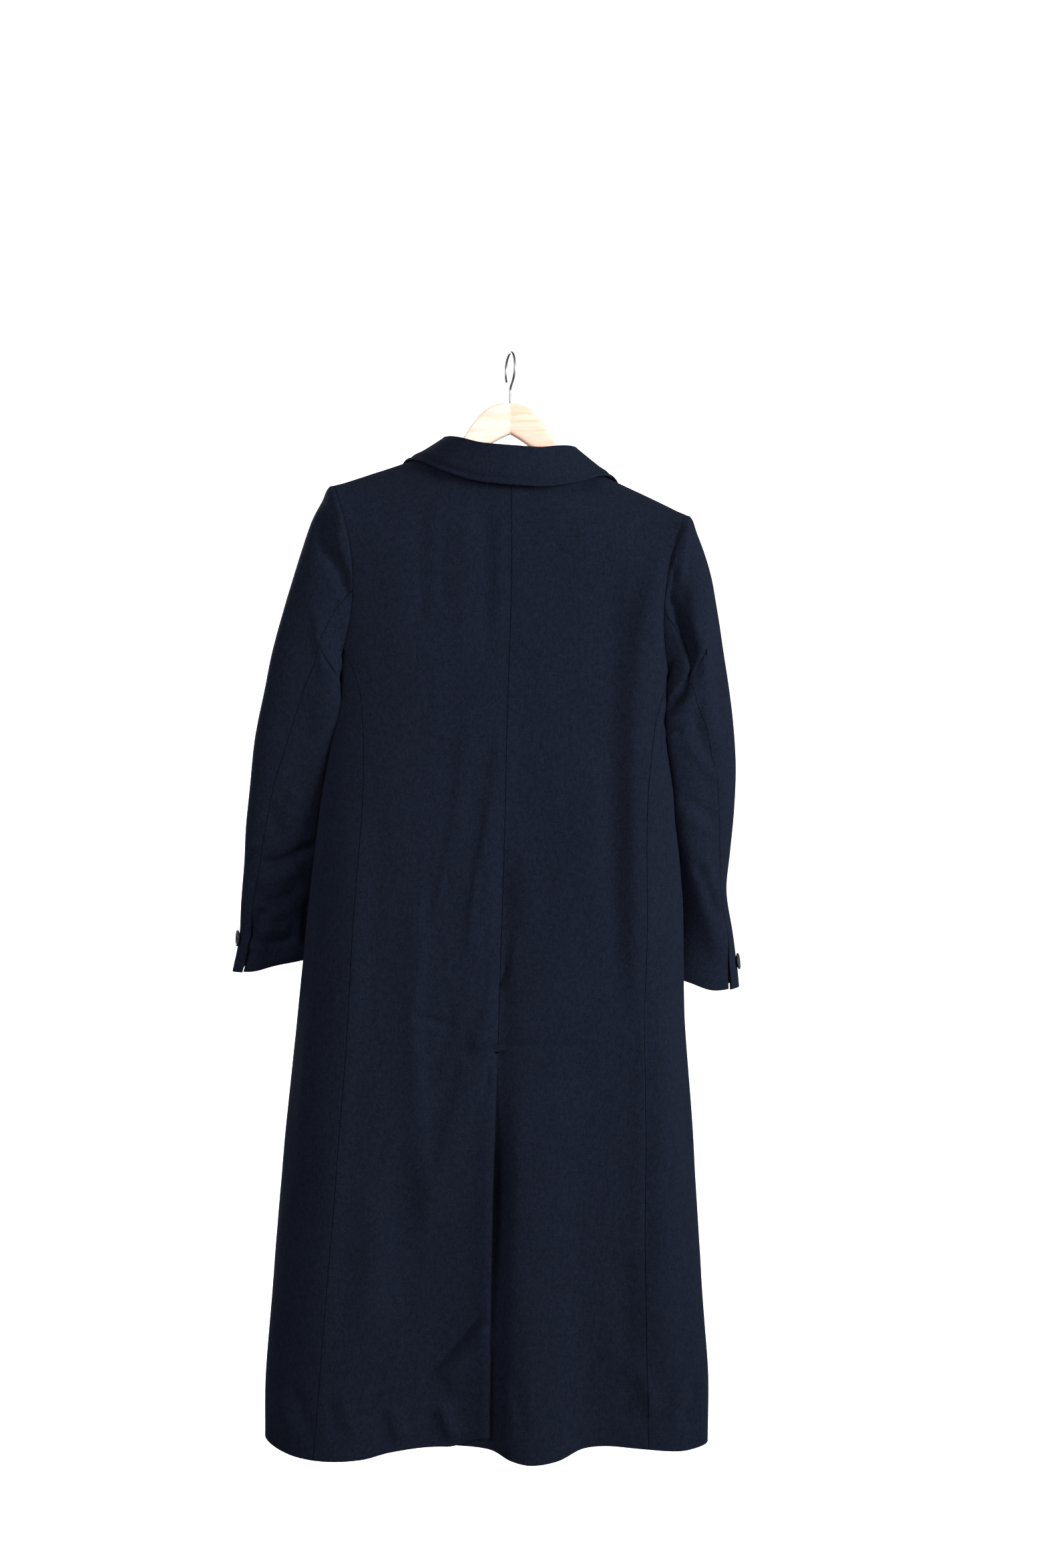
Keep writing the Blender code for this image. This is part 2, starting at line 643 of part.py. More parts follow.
def sleeve_normal(name, station, degrees):
    """Unit normal away from the sleeve's middle."""
    before = max(0.0, station - 0.25)
    after = min(float(CUFF_STATION), station + 0.25)
    along = sleeve_point(name, after, degrees) - sleeve_point(name, before, degrees)
    across = sleeve_point(name, station, degrees + 3) - sleeve_point(name, station, degrees - 3)
    middle = (sleeve_point(name, station, 0) + sleeve_point(name, station, 180)) / 2
    normal = along.cross(across).normalized()
    away = sleeve_point(name, station, degrees) - middle
    if normal.dot(away) < 0:
        normal = -normal
    if station > 0:
        return normal
    return in_armhole_plane(normal, sleeve_point(name, station, degrees).z)


def armhole_turns(half):
    """Angles of a sleeve half's columns, the same places as on the armhole of the body."""
    drop = SIDE_TOP_Z - SHOULDER_Z
    down = [loop_angle(SHOULDER_Z + drop * share) for share in TOP_SHARES]
    low = loop_angle(SIDE_TOP_Z)
    base = [low + (360 - 2 * low) * index / SIDE_COLUMNS for index in range(SIDE_COLUMNS + 1)]
    hind = TOP_SHARES.index(HIND_SEAM_SHARE)
    if half == "under":
        return down[hind:] + base
    return [base[-1]] + [360 - turn for turn in reversed(down[1:])] + [
        360 + turn for turn in down[:hind + 1]
    ]


def build_sleeves(material):
    """Top and under sleeve on each side; the top one's vent edge stands off at the cuff."""
    for name in SLEEVES:
        for half in ("top", "under"):
            points = []
            normals = []
            turns = armhole_turns(half)
            for station in range(CUFF_STATION + 1):
                moved = SLEEVES[name].read("hind", station) - armhole_turns("under")[0]
                angles = []
                for turn in turns:
                    share = (turn - turns[0]) / (turns[-1] - turns[0])
                    angles.append(turn + moved * (share if half == "top" else 1 - share))
                points.append([sleeve_point(name, station, angle) for angle in angles])
                normals.append([sleeve_normal(name, station, angle) for angle in angles])
            if half == "top":
                open_cuff_vent(points, normals)
            inner = lay_in(points, normals, CLOTH)
            side = -1 if name == "left" else 1
            for rows in (points, inner):
                part_seams(rows)
                rows[0] = [point + Vector((side * GAP, 0.0, 0.0)) for point in rows[0]]
            add_wall("sleeve_" + half + "_" + name, points, inner, material)


def open_cuff_vent(points, normals):
    """Lift the hind edge of the top sleeve off the vent, most at the cuff."""
    for station in range(CUFF_VENT_STATION, CUFF_STATION + 1):
        share = (station - CUFF_VENT_STATION + 0.3) / (CUFF_STATION - CUFF_VENT_STATION + 0.3)
        for back in range(1, 3):
            lift = CUFF_FLARE * share * (1.0 if back == 1 else 0.4)
            points[station][-back] = points[station][-back] + normals[station][-back] * lift


def front_spot(x, height, side):
    """Point and normal of a front's outer face at an x and a height."""
    if height <= SIDE_TOP_Z:
        return ring_point("front", height, side * x), ring_normal("front", height, side * x)
    across = 0.5
    for _ in range(12):
        top = top_edge(NECK_X + (SHOULDER_X - NECK_X) * across)
        down = (top - height) / (top - SIDE_TOP_Z)
        edge = armhole_at(SHOULDER_Z + (SIDE_TOP_Z - SHOULDER_Z) * down)
        inside = roll_line(NECK_Z + (SIDE_TOP_Z - NECK_Z) * down)
        across = min(1.0, max(0.0, (x - inside) / (edge.x - inside)))
    near = min(0.97, across)
    return upper_point("front", side, across, down), upper_normal("front", side, near, down)


def build_lapels(material):
    """Each lapel turns out at the roll line and lies on its front, up to the gorge."""
    for name, side in (("left", -1), ("right", 1)):
        lowest = CROSSING_Z if side == -1 else BREAK_Z + 0.012
        rim_start = 0.10 if side == -1 else 0.0
        outer = []
        inner = []
        for row in range(10):
            share = row / 9
            height = lowest + (GORGE_Z - lowest) * share
            rim = lapel_rim(rim_start + (1 - rim_start) * share)
            outer_row, inner_row = lapel_row(side, height, rim)
            outer.append(outer_row)
            inner.append(inner_row)
        add_wall("lapel_" + name, outer, inner, material)


def lapel_rim(share):
    """Outer edge of a lapel, from just above the break round its belly to the point."""
    start = Vector((roll_line(BREAK_Z) + 0.022, BREAK_Z + 0.004))
    belly = Vector(LAPEL_BELLY)
    point = Vector(LAPEL_POINT)
    return start * (1 - share) ** 2 + belly * 2 * share * (1 - share) + point * share ** 2


def lapel_row(side, height, rim):
    """One row across a lapel: half a turn round the roll line, then out to its rim."""
    x = roll_line(height)
    sink = under_lap(x, height) if side == -1 else 0.0
    base, normal = front_spot(x, height, side)
    base = base - normal * (sink + CLOTH)
    far, _ = front_spot(x + 0.01, height - 0.0035, side)
    outwards = (base - far).normalized()
    outwards = (outwards - normal * outwards.dot(normal)).normalized()
    centre = base + normal * ROLL_RADIUS + outwards * GAP * 1.2
    outer_row = []
    inner_row = []
    for step in range(5):
        angle = math.pi * step / 4
        arm = outwards * math.sin(angle) - normal * math.cos(angle)
        outer_row.append(centre + arm * ROLL_RADIUS)
        inner_row.append(centre + arm * (ROLL_RADIUS - CLOTH))
    for step in range(1, 9):
        share = step / 8
        place_x = x + (rim.x - x) * share
        place_z = height + (rim.y - height) * share
        point, facing = front_spot(place_x, place_z, side)
        sunk = under_lap(place_x, place_z) if side == -1 else 0.0
        outer_row.append(point + facing * (LAPEL_LIFT - sunk))
        inner_row.append(point + facing * (LAPEL_LIFT - CLOTH - sunk))
    return outer_row, inner_row


def collar_section(along, side):
    """Section of the collar from its foot up the stand, over the roll and down the fall."""
    foot, roll, edge = (
        Vector([COLLAR.read(place + "_" + axis, along) for axis in "xyz"])
        for place in ("foot", "roll", "edge")
    )
    arch = COLLAR.read("arch", along)
    rise = (roll - foot).normalized()
    fall = (edge - roll).normalized()
    out = (fall - rise * fall.dot(rise)).normalized()
    crest = roll - rise * COLLAR_ROLL
    outside = [foot, foot.lerp(crest, 0.5)]
    facing = [-out, -out]
    for step in range(5):
        angle = math.pi * step / 4
        arm = rise * math.sin(angle) - out * math.cos(angle)
        outside.append(crest + out * COLLAR_ROLL + arm * COLLAR_ROLL)
        facing.append(arm)
    start = outside[-1]
    level = (edge - start).normalized()
    lifted = (out - level * out.dot(level)).normalized()
    sag = COLLAR.read("sag", along)
    for step in range(1, 7):
        share = step / 6
        bow = math.sin(math.pi * share) * arch
        drop = sag * min(share / NOTCH_SHARE, (1 - share) / (1 - NOTCH_SHARE))
        outside.append(start.lerp(edge, share) + lifted * bow - Vector((0.0, 0.0, drop)))
        facing.append(lifted)
    inside = [point - normal * CLOTH for point, normal in zip(outside, facing)]
    if side == -1:
        for row in (outside, inside):
            for point in row:
                point.x = -point.x
    return outside, inside


def build_collar(material):
    """One folded piece round the neck, from the left notch over the back to the right."""
    count = 15
    outer = []
    inner = []
    for step in range(-count, count + 1):
        outside, inside = collar_section(abs(step) / count, -1 if step < 0 else 1)
        outer.append(outside)
        inner.append(inside)
    add_wall("collar", outer, inner, material)


def add_button(name, radius, centre, facing, material):
    """A turned button with a raised rim, its back on the cloth and four thread holes."""
    profile = [
        (0.0, 0.0), (radius * 0.80, 0.0), (radius, BUTTON_THICKNESS * 0.45),
        (radius * 0.97, BUTTON_THICKNESS * 0.90), (radius * 0.86, BUTTON_THICKNESS),
        (radius * 0.72, BUTTON_THICKNESS * 0.72), (0.0, BUTTON_THICKNESS * 0.66),
    ]
    mesh = bpy.data.meshes.new(name)
    edges = [(index, index + 1) for index in range(len(profile) - 1)]
    mesh.from_pydata([(x, 0.0, z) for x, z in reversed(profile)], edges, [])
    mesh.materials.append(material)
    button = bpy.data.objects.new(name, mesh)
    bpy.data.collections[COLLECTION].objects.link(button)
    turn = button.modifiers.new("turned", "SCREW")
    turn.steps = 16
    turn.render_steps = 16
    turn.use_merge_vertices = True
    turn.merge_threshold = 0.00005
    for index in range(4):
        angle = math.pi / 4 + math.pi / 2 * index
        bpy.ops.mesh.primitive_cylinder_add(
            vertices=6, radius=radius * 0.10, depth=BUTTON_THICKNESS * 3,
            location=(radius * 0.24 * math.cos(angle), radius * 0.24 * math.sin(angle), 0.0),
        )
        drill = bpy.context.object
        drill.name = name + "_drill_" + str(index + 1)
        drill.hide_render = True
        drill.display_type = "WIRE"
        drill.parent = button
        for collection in list(drill.users_collection):
            collection.objects.unlink(drill)
        bpy.data.collections["cutters"].objects.link(drill)
        cut = button.modifiers.new("thread hole " + str(index + 1), "BOOLEAN")
        cut.operation = "DIFFERENCE"
        cut.object = drill
    button.rotation_mode = "QUATERNION"
    button.rotation_quaternion = Vector((0.0, 0.0, 1.0)).rotation_difference(facing)
    button.location = centre
    return button


def build_buttons(material):
    """Three buttons down the centre front and one beside each cuff's vent."""
    for index, height in enumerate(FRONT_BUTTON_HEIGHTS):
        point = ring_point("front", height, 0.0)
        normal = ring_normal("front", height, 0.0)
        add_button(
            "front_button_" + str(index + 1), FRONT_BUTTON_RADIUS,
            hang(point + normal * BUTTON_STAND), normal, material,
        )
    for name in SLEEVES:
        point = sleeve_point(name, 13.0, 14)
        normal = sleeve_normal(name, 13.0, 14)
        add_button(
            "cuff_button_" + name, CUFF_BUTTON_RADIUS,
            hang(point + normal * BUTTON_STAND), normal, material,
        )


def build_hanger(material):
    """Two arms of one wooden hanger, which meet at a straight joint in the middle."""
    sides = 16
    places = [row[0] for row in HANGER.rows]
    for name, side in (("left", -1), ("right", 1)):
        points = []
        for x in places:
            top = HANGER.read("top", x)
            bottom = HANGER.read("bottom", x)
            half = HANGER.read("half_thickness", x)
            bluntness = 0.45 + 0.45 * smooth((x - 0.05) / 0.03)
            for step in range(sides):
                angle = 2 * math.pi * (step + 0.5) / sides
                lean = math.copysign(abs(math.cos(angle)) ** bluntness, math.cos(angle))
                rise = math.copysign(abs(math.sin(angle)) ** bluntness, math.sin(angle))
                height = (top + bottom) / 2 + (top - bottom) / 2 * rise
                points.append(hang(Vector((side * (x + GAP / 2), half * lean, height))))
        faces = [tuple(range(sides)), tuple(range(len(points) - sides, len(points)))]
        for row in range(len(places) - 1):
            for step in range(sides):
                a = row * sides + step
                b = row * sides + (step + 1) % sides
                faces.append((a, b, b + sides, a + sides))
        add_mesh_object("hanger_" + name, points, faces, material)


def build_hook(material):
    """The hook's wire: a stem, a bend out to the near side and a turn over the rail."""
    across = Vector((math.sin(HOOK_YAW), -math.cos(HOOK_YAW), 0.0))
    centre_z = HOOK_WIRE - HOOK_RADIUS
    path = []
    turns = 20
    for step in range(turns + 1):
        angle = HOOK_TIP_ANGLE + (math.radians(205) - HOOK_TIP_ANGLE) * step / turns
        reach = -HOOK_RADIUS * math.cos(angle)
        path.append(across * reach + Vector((0.0, 0.0, centre_z + HOOK_RADIUS * math.sin(angle))))
    last = path[-1]
    heading = Vector((0.0, 0.0, -1.0))
    foot = Vector((0.0, 0.0, STEM_TOP_Z))
    pull = (path[-1] - path[-2]).normalized()
    reach = (foot - last).length
    for step in range(1, 9):
        share = step / 8
        first = last + pull * reach * 0.45
        second = foot - heading * reach * 0.35
        path.append(
            last * (1 - share) ** 3 + first * 3 * share * (1 - share) ** 2
            + second * 3 * share ** 2 * (1 - share) + foot * share ** 3
        )
    path.append(Vector((0.0, 0.0, APEX_Z + GAP)))
    curve = bpy.data.curves.new("hook", "CURVE")
    curve.dimensions = "3D"
    curve.bevel_depth = HOOK_WIRE
    curve.bevel_resolution = 2
    curve.use_fill_caps = True
    spline = curve.splines.new("POLY")
    spline.points.add(len(path) - 1)
    for point, place in zip(spline.points, path):
        point.co = (*place, 1.0)
    curve.materials.append(material)
    hook = bpy.data.objects.new("hook", curve)
    bpy.data.collections[COLLECTION].objects.link(hook)


def main():
    for item in list(bpy.data.objects):
        bpy.data.objects.remove(item, do_unlink=True)
    for title in (COLLECTION, "cutters"):
        bpy.context.scene.collection.children.link(bpy.data.collections.new(title))
    wool = make_material("navy wool", (0.012, 0.016, 0.030), 0.95)
    horn = make_material("dark horn", (0.010, 0.011, 0.014), 0.35)
    wood = make_material("pale varnished wood", (0.80, 0.56, 0.36), 0.40)
    steel = make_material("chromed steel", (0.80, 0.80, 0.80), 0.15, 1.0)
    build_backs(wool)
    build_fronts(wool)
    build_side_bodies(wool)
    build_sleeves(wool)
    build_lapels(wool)
    build_collar(wool)
    build_buttons(horn)
    build_hanger(wood)
    build_hook(steel)


main()
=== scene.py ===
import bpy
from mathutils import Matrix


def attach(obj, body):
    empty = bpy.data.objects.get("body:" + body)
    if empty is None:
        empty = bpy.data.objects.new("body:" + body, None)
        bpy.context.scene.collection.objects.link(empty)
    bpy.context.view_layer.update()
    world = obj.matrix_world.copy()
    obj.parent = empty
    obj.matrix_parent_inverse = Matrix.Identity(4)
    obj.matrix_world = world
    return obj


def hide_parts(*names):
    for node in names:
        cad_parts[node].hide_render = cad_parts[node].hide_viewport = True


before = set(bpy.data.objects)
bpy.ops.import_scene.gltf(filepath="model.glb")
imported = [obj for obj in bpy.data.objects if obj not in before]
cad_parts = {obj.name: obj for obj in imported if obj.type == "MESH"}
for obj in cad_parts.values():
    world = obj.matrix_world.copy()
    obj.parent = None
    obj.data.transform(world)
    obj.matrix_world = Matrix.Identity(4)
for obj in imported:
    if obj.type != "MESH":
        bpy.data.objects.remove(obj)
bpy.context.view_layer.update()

# A long tailored coat of navy melton on its wooden hanger, seen from the back. Metres, +Z up,
# +X to the wearer's right, +Y the way the wearer faces, the origin where the hook bears.
# The coat is laid out straight first, and hang() then lets it tilt and sway as it hangs.
import math
from functools import partial

import bmesh
import bpy
import numpy as np
from mathutils import Vector, noise


# The backs
# Two halves of fulled navy melton, joined by a pressed-open seam down the middle of the back.
# Below the vent's top the left half laps over an extension of the right one; the hem is
# turned up and felled by hand, so only a faint ridge shows.

# The cloth's thickness, its seams and turned edges, and the grid that it is laid out on
CLOTH = 0.0022
SEAM_OVERLAP = 0.0005
SEAM_ROLL = 0.0010
TURNED_ROUND_SHARE = 0.46
CLOTH_STEP = 0.0038
BESIDE_EDGE = np.array([0.0, 0.35, 0.8, 1.4, 2.2, 3.4]) / 1000
# The neck point and the shoulder point, and the armhole's loop from there to the underarm
NECK_X = 0.088
NECK_Z = -0.129
NECK_DROP = 0.020
NECK_DEPTH = 0.062
SHOULDER_X = 0.2145
SHOULDER_Z = -0.1835
SHOULDER_SLOPE = (NECK_Z - SHOULDER_Z) / (SHOULDER_X - NECK_X)
SHOULDER_ROUNDING = 0.110
SHOULDER_TURN_RADIUS = 0.077
SHOULDER_ROWS = 34
ARMHOLE_ROWS = 25
UNDERARM_X = 0.208
UNDERARM_Z = -0.420
ARMHOLE_DEPTH = 0.060
ARMHOLE_CUP = 0.025
ARMHOLE_EGG = 0.25
ARMHOLE_FLATNESS = 0.45
# The top of the side seams, how boxy the body is above and below the waist, and the hem
SIDE_TOP_Z = -0.383
ROUND_CHEST = 3.3
ROUND_SKIRT = 2.7
ROUND_FROM_Z = -0.45
ROUND_OVER = 0.35
HEM_Z = -1.336
FLUTES_FROM_Z = -0.52
FLUTES_GROWTH = 2.1
FLUTE_FLATNESS = 0.58
FLUTE_MIDDLE = 0.062
FLUTE_SAG = 0.38
FLUTE_SAG_FROM_Y = 0.040
# The vent: how it laps, sinks, hollows and rolls under, and how its corner lifts
VENT_TOP_Z = -0.843
VENT_LAP = 0.040
VENT_TURN_IN = 0.014
VENT_STARTS_OVER = 0.012
VENT_STARTS_SLOWLY = 0.050
VENT_PLAY = 0.003
VENT_SINK = 0.0050
VENT_HOLLOW = 0.0080
VENT_HOLLOW_Z = -1.03
VENT_HOLLOW_HALF = 0.11
VENT_SINK_REACH = 0.031
VENT_OPEN_AT_TOP = 0.45
VENT_OPENS_OVER = 0.12
VENT_CURL = 0.0030
VENT_CURL_REACH = 0.030
VENT_CURL_TOP_Z = -0.90
VENT_CURL_OVER = 0.12
VENT_EDGE_ROLL = 0.0018
VENT_ROLL_REACH = 0.007
CORNER_LIFT = 0.016
CORNER_TOP_Z = -1.17
CORNER_X = -0.048
CORNER_REACH = 0.052
TURN_UP = 0.040
TURN_UP_GROOVE = 0.0004
TURN_UP_GROOVE_HALF = 0.003
# How far the edges hold the cloth still, and the size and depth of its unevenness
HELD_BY_SEAM = 0.015
SLOW_WAVES = (14.0, 0.0012)
FINE_WAVES = (45.0, 0.0003)
WAVES_LONGER_DOWN = 0.45
BACK_WIDTH = 0.205


class Table:
    """Rows of named columns, read smoothly between the rows by the first column."""

    def __init__(self, columns, rows):
        self.rows = np.array(sorted(rows), float)
        self.columns = columns.split()

    def read(self, column, key):
        keys = self.rows[:, 0]
        values = self.rows[:, self.columns.index(column)]
        slopes = np.empty_like(values)
        slopes[1:-1] = (values[2:] - values[:-2]) / (keys[2:] - keys[:-2])
        slopes[0] = (values[1] - values[0]) / (keys[1] - keys[0])
        slopes[-1] = (values[-1] - values[-2]) / (keys[-1] - keys[-2])
        key = np.clip(key, keys[0], keys[-1])
        low = np.clip(np.searchsorted(keys, key, side="right") - 1, 0, len(keys) - 2)
        span = keys[low + 1] - keys[low]
        share = (key - keys[low]) / span
        square = share * share
        cube = square * share
        return (
            (2 * cube - 3 * square + 1) * values[low]
            + (cube - 2 * square + share) * slopes[low] * span
            + (3 * square - 2 * cube) * values[low + 1]
            + (cube - square) * slopes[low + 1] * span
        )


# How far the coat sways to the left, and how far it tilts, on its way down
SWAY = Table("height shift tilt", [
    (-0.050, 0.000, 0.0500), (-0.130, 0.000, 0.0825), (-0.200, 0.000, 0.0825),
    (-0.300, -0.001, 0.0760), (-0.420, -0.006, 0.0690), (-0.600, -0.0135, 0.0580),
    (-0.800, -0.022, 0.0465), (-1.050, -0.0265, 0.0310), (-1.340, -0.0295, 0.0136),
])
# The body's section: half its width, and its depth behind and before the shoulder line
BODY = Table("height half_width back front", [
    (-0.149, 0.2148, 0.062, 0.050), (-0.200, 0.2148, 0.072, 0.060),
    (-0.290, 0.2148, 0.077, 0.069), (SIDE_TOP_Z, 0.2108, 0.077, 0.077),
    (-0.420, 0.2098, 0.077, 0.077), (-0.450, 0.2126, 0.076, 0.076),
    (-0.510, 0.2160, 0.075, 0.074), (-0.600, 0.2235, 0.073, 0.072),
    (-0.700, 0.2290, 0.071, 0.073), (-0.800, 0.2350, 0.070, 0.075),
    (-0.960, 0.2490, 0.070, 0.077), (-1.130, 0.2615, 0.068, 0.077),
    (-1.250, 0.2722, 0.064, 0.076), (HEM_Z, 0.2730, 0.062, 0.075),
])
# Depth of the hem's flutes, by the share of the half width
HEM_BACK = Table("across depth", [
    (-1.00, 0.066), (-0.85, 0.093), (-0.70, 0.097), (-0.54, 0.083), (-0.42, 0.057),
    (-0.26, 0.037), (-0.12, 0.036), (0.02, 0.047), (0.11, 0.075), (0.20, 0.088),
    (0.32, 0.074), (0.43, 0.037), (0.54, 0.030), (0.72, 0.046), (0.87, 0.060), (1.00, 0.055),
])
HEM_FRONT = Table("across depth", [
    (-1.00, 0.050), (-0.80, 0.062), (-0.62, 0.096), (-0.44, 0.082), (-0.27, 0.054),
    (-0.08, 0.066), (0.10, 0.070), (0.26, 0.050), (0.42, 0.078), (0.60, 0.094),
    (0.80, 0.064), (1.00, 0.048),
])
CENTRE_BACK = Table("height x", [
    (-0.149, 0.000), (-0.200, 0.002), (-0.420, 0.004), (-0.660, 0.008), (-0.850, 0.009),
    (-1.050, 0.006), (HEM_Z, 0.005),
])


def smooth(share):
    """Ease from 0 to 1, flat at both ends."""
    share = np.clip(share, 0.0, 1.0)
    return share * share * (3 - 2 * share)


def bell(distance, half_width):
    """A bell curve: 1 in the middle, fading over a half width."""
    return np.exp(-(distance / half_width) ** 2)


def hang(points):
    """Take points of the straight coat to where they hang. The hem also sags in the full
    flutes of the back."""
    x, y, z = np.moveaxis(points, -1, 0)
    tilt = SWAY.read("tilt", z)
    share = np.clip((FLUTES_FROM_Z - z) / (FLUTES_FROM_Z - HEM_Z), 0, 1)
    flute = HEM_BACK.read("depth", x / BODY.read("half_width", z)) - FLUTE_MIDDLE
    sag = FLUTE_SAG * FLUTE_FLATNESS * flute * share ** 3 * smooth(-y / FLUTE_SAG_FROM_Y)
    return np.stack([x + SWAY.read("shift", z), y, z - tilt * x - sag], -1)


def loop_angle(height):
    """Angle in radians on the back half of the armhole loop at a height."""
    middle = (SHOULDER_Z + UNDERARM_Z) / 2
    return np.arccos(np.clip((height - middle) / (SHOULDER_Z - middle), -1.0, 1.0))


def loop_depth(angle, flatness, egg):
    """Depth round a loop: 1 at the back, -1 at the front, boxier with the flatness, and
    deeper towards the shoulder with the egg."""
    reach = np.sign(np.sin(angle)) * np.abs(np.sin(angle)) ** (1 - flatness)
    return reach * (1 + egg * (0.5 + 0.5 * np.cos(angle)) ** 2)


def armhole(angle):
    """Loop of the armhole on the right: 0 at the shoulder point, a right angle at the back."""
    middle = (SHOULDER_Z + UNDERARM_Z) / 2
    x = (SHOULDER_X + UNDERARM_X) / 2 + (SHOULDER_X - UNDERARM_X) / 2 * np.cos(angle)
    x = x - ARMHOLE_CUP * np.sin(angle) ** 2
    y = -ARMHOLE_DEPTH * loop_depth(angle, ARMHOLE_FLATNESS, ARMHOLE_EGG)
    return np.stack([x, y, middle + (SHOULDER_Z - middle) * np.cos(angle)], -1)


def squareness(height):
    """Power of the body's rounded section at a height: boxier at the chest."""
    skirt = smooth((ROUND_FROM_Z - height) / ROUND_OVER)
    return ROUND_CHEST + (ROUND_SKIRT - ROUND_CHEST) * skirt


def rounding(across, height):
    """Depth left at a share of the half width, 1 in the middle and 0 at the side."""
    power = squareness(height)
    return np.clip(1 - np.clip(np.abs(across), 0, 1) ** power, 0, None) ** (1 / power)


def sheet_depth(face, height, across):
    """Depth of the back or the front before its sides round away to the side bodies."""
    hem = HEM_BACK if face == "back" else HEM_FRONT
    share = np.clip((FLUTES_FROM_Z - height) / (FLUTES_FROM_Z - HEM_Z), 0, 1)
    weight = share ** FLUTES_GROWTH
    flute = hem.read("depth", across)
    flute = flute - FLUTE_FLATNESS * (flute - FLUTE_MIDDLE)
    return (1 - weight) * BODY.read(face, height) + weight * flute


def ring_point(face, height, x):
    """Point of the body's back or front at a height and a signed x."""
    across = x / BODY.read("half_width", height)
    depth = rounding(across, height) * sheet_depth(face, height, across)
    return np.stack([x, -depth if face == "back" else depth, height], -1)


# Distance of the seams beside the side bodies from the middle
SIDE_SEAMS = Table("height back_left back_right front", [
    (SIDE_TOP_Z, *[float(armhole(loop_angle(SIDE_TOP_Z))[0])] * 3),
    (-0.415, 0.1790, 0.1860, 0.1900), (-0.450, 0.1700, 0.1785, 0.1860),
    (-0.550, 0.1640, 0.1730, 0.1850), (-0.700, 0.1680, 0.1800, 0.1890),
    (-0.850, 0.1710, 0.1845, 0.1950), (-0.960, 0.1780, 0.1880, 0.2000),
    (-1.080, 0.1860, 0.1890, 0.2050), (HEM_Z, 0.2060, 0.1970, 0.2160),
])


def top_edge(x):
    """Height of the back's top edge: the neckline, then the shoulder seam."""
    neck = NECK_Z - NECK_DROP * np.sqrt(np.clip(1 - (x / NECK_X) ** 2, 0, None))
    return np.where(x > NECK_X, NECK_Z - (x - NECK_X) * SHOULDER_SLOPE, neck)


def upper_point(face, side, across, down, inside):
    """Back or front above the side seams: across from the inner edge, down from the top."""
    edge = armhole(loop_angle(SHOULDER_Z + (SIDE_TOP_Z - SHOULDER_Z) * down))
    if face == "back":
        top_x = SHOULDER_X * across
        neck = NECK_DEPTH * np.sqrt(np.clip(1 - (top_x / NECK_X) ** 2, 0, None))
    else:
        top_x = NECK_X + (SHOULDER_X - NECK_X) * across
        neck = 0.0
    top = top_edge(top_x)
    height = top + (SIDE_TOP_Z - top) * down
    if face == "back":
        inside = side * CENTRE_BACK.read("x", height)
    x = inside + (edge[..., 0] - inside) * across
    share = np.clip((top - height) / SHOULDER_ROUNDING, 0, 1)
    swell = np.sqrt(1 - (1 - share) ** 2)
    side_share = armhole(loop_angle(SIDE_TOP_Z))[0] / BODY.read("half_width", SIDE_TOP_Z)
    least = rounding(side_share, SIDE_TOP_Z)
    full = rounding(side_share * x / edge[..., 0], SIDE_TOP_Z)
    fullness = (full - least) / (1 - least)
    middle = neck * (1 - swell) + sheet_depth(face, height, 0.0) * swell
    depth = fullness * middle + (1 - fullness) * np.abs(edge[..., 1])
    return np.stack([side * x, -depth if face == "back" else depth, height], -1)


def spread(length, step=CLOTH_STEP):
    """Shares from 0 to 1 along a length, close together beside both edges."""
    count = max(3, round((length - 2 * BESIDE_EDGE[-1]) / step))
    middle = np.linspace(BESIDE_EDGE[-1], length - BESIDE_EDGE[-1], count + 1)[1:-1]
    return np.concatenate([BESIDE_EDGE, middle, length - BESIDE_EDGE[::-1]]) / length


def shoulder_rows():
    """Shares down from the shoulder seam to the side seam, even along the rounded cloth."""
    drop = SHOULDER_Z - SIDE_TOP_Z
    beside_ridge = BESIDE_EDGE / SHOULDER_TURN_RADIUS
    turns = np.concatenate([beside_ridge, np.linspace(0.06, math.pi / 2, SHOULDER_ROWS)])
    round_part = (1 - np.cos(turns)) * SHOULDER_ROUNDING / drop
    plain = np.linspace(round_part[-1], 1.0, ARMHOLE_ROWS)[1:]
    return np.concatenate([round_part, plain])


def grid_normals(points, away):
    """Unit normals of a grid of points, turned to the side that away points to."""
    normals = np.cross(np.gradient(points, axis=0), np.gradient(points, axis=1))
    normals /= np.linalg.norm(normals, axis=-1, keepdims=True) + 1e-12
    return normals if np.sum(normals * away) > 0 else -normals


def body_away(points):
    """Directions out of the coat's body."""
    return points * [1.0, 2.0, 0.0]


def ease_joint(points, joint, across, reach=9, armhole_share=0.15, rounds=60):
    """Even out the bend where the upper part of a panel meets the lower one, over a reach of
    rows on both sides, and less beside the armhole, where the sleeve's edge must meet."""
    first, last = joint - reach, joint + reach
    rows = np.arange(first, last)
    weight = smooth(np.minimum(rows - first, last - rows) / 6)
    weight = weight[:, None, None] * smooth((1 - across) / armhole_share)[None, :, None] * 0.5
    for _ in range(rounds):
        middle = (points[first - 1:last - 1] + points[first + 1:last + 1]) / 2
        points[first:last] += (middle - points[first:last]) * weight
    return points


def round_path(path):
    """Cut the corners of a path of a few places, so that a fold runs in a curve."""
    path = np.array(path, float)
    for _ in range(3):
        near = path[:-1] * 0.75 + path[1:] * 0.25
        far = path[:-1] * 0.25 + path[1:] * 0.75
        path = np.concatenate([path[:1], np.stack([near, far], 1).reshape(-1, 2), path[-1:]])
    return path


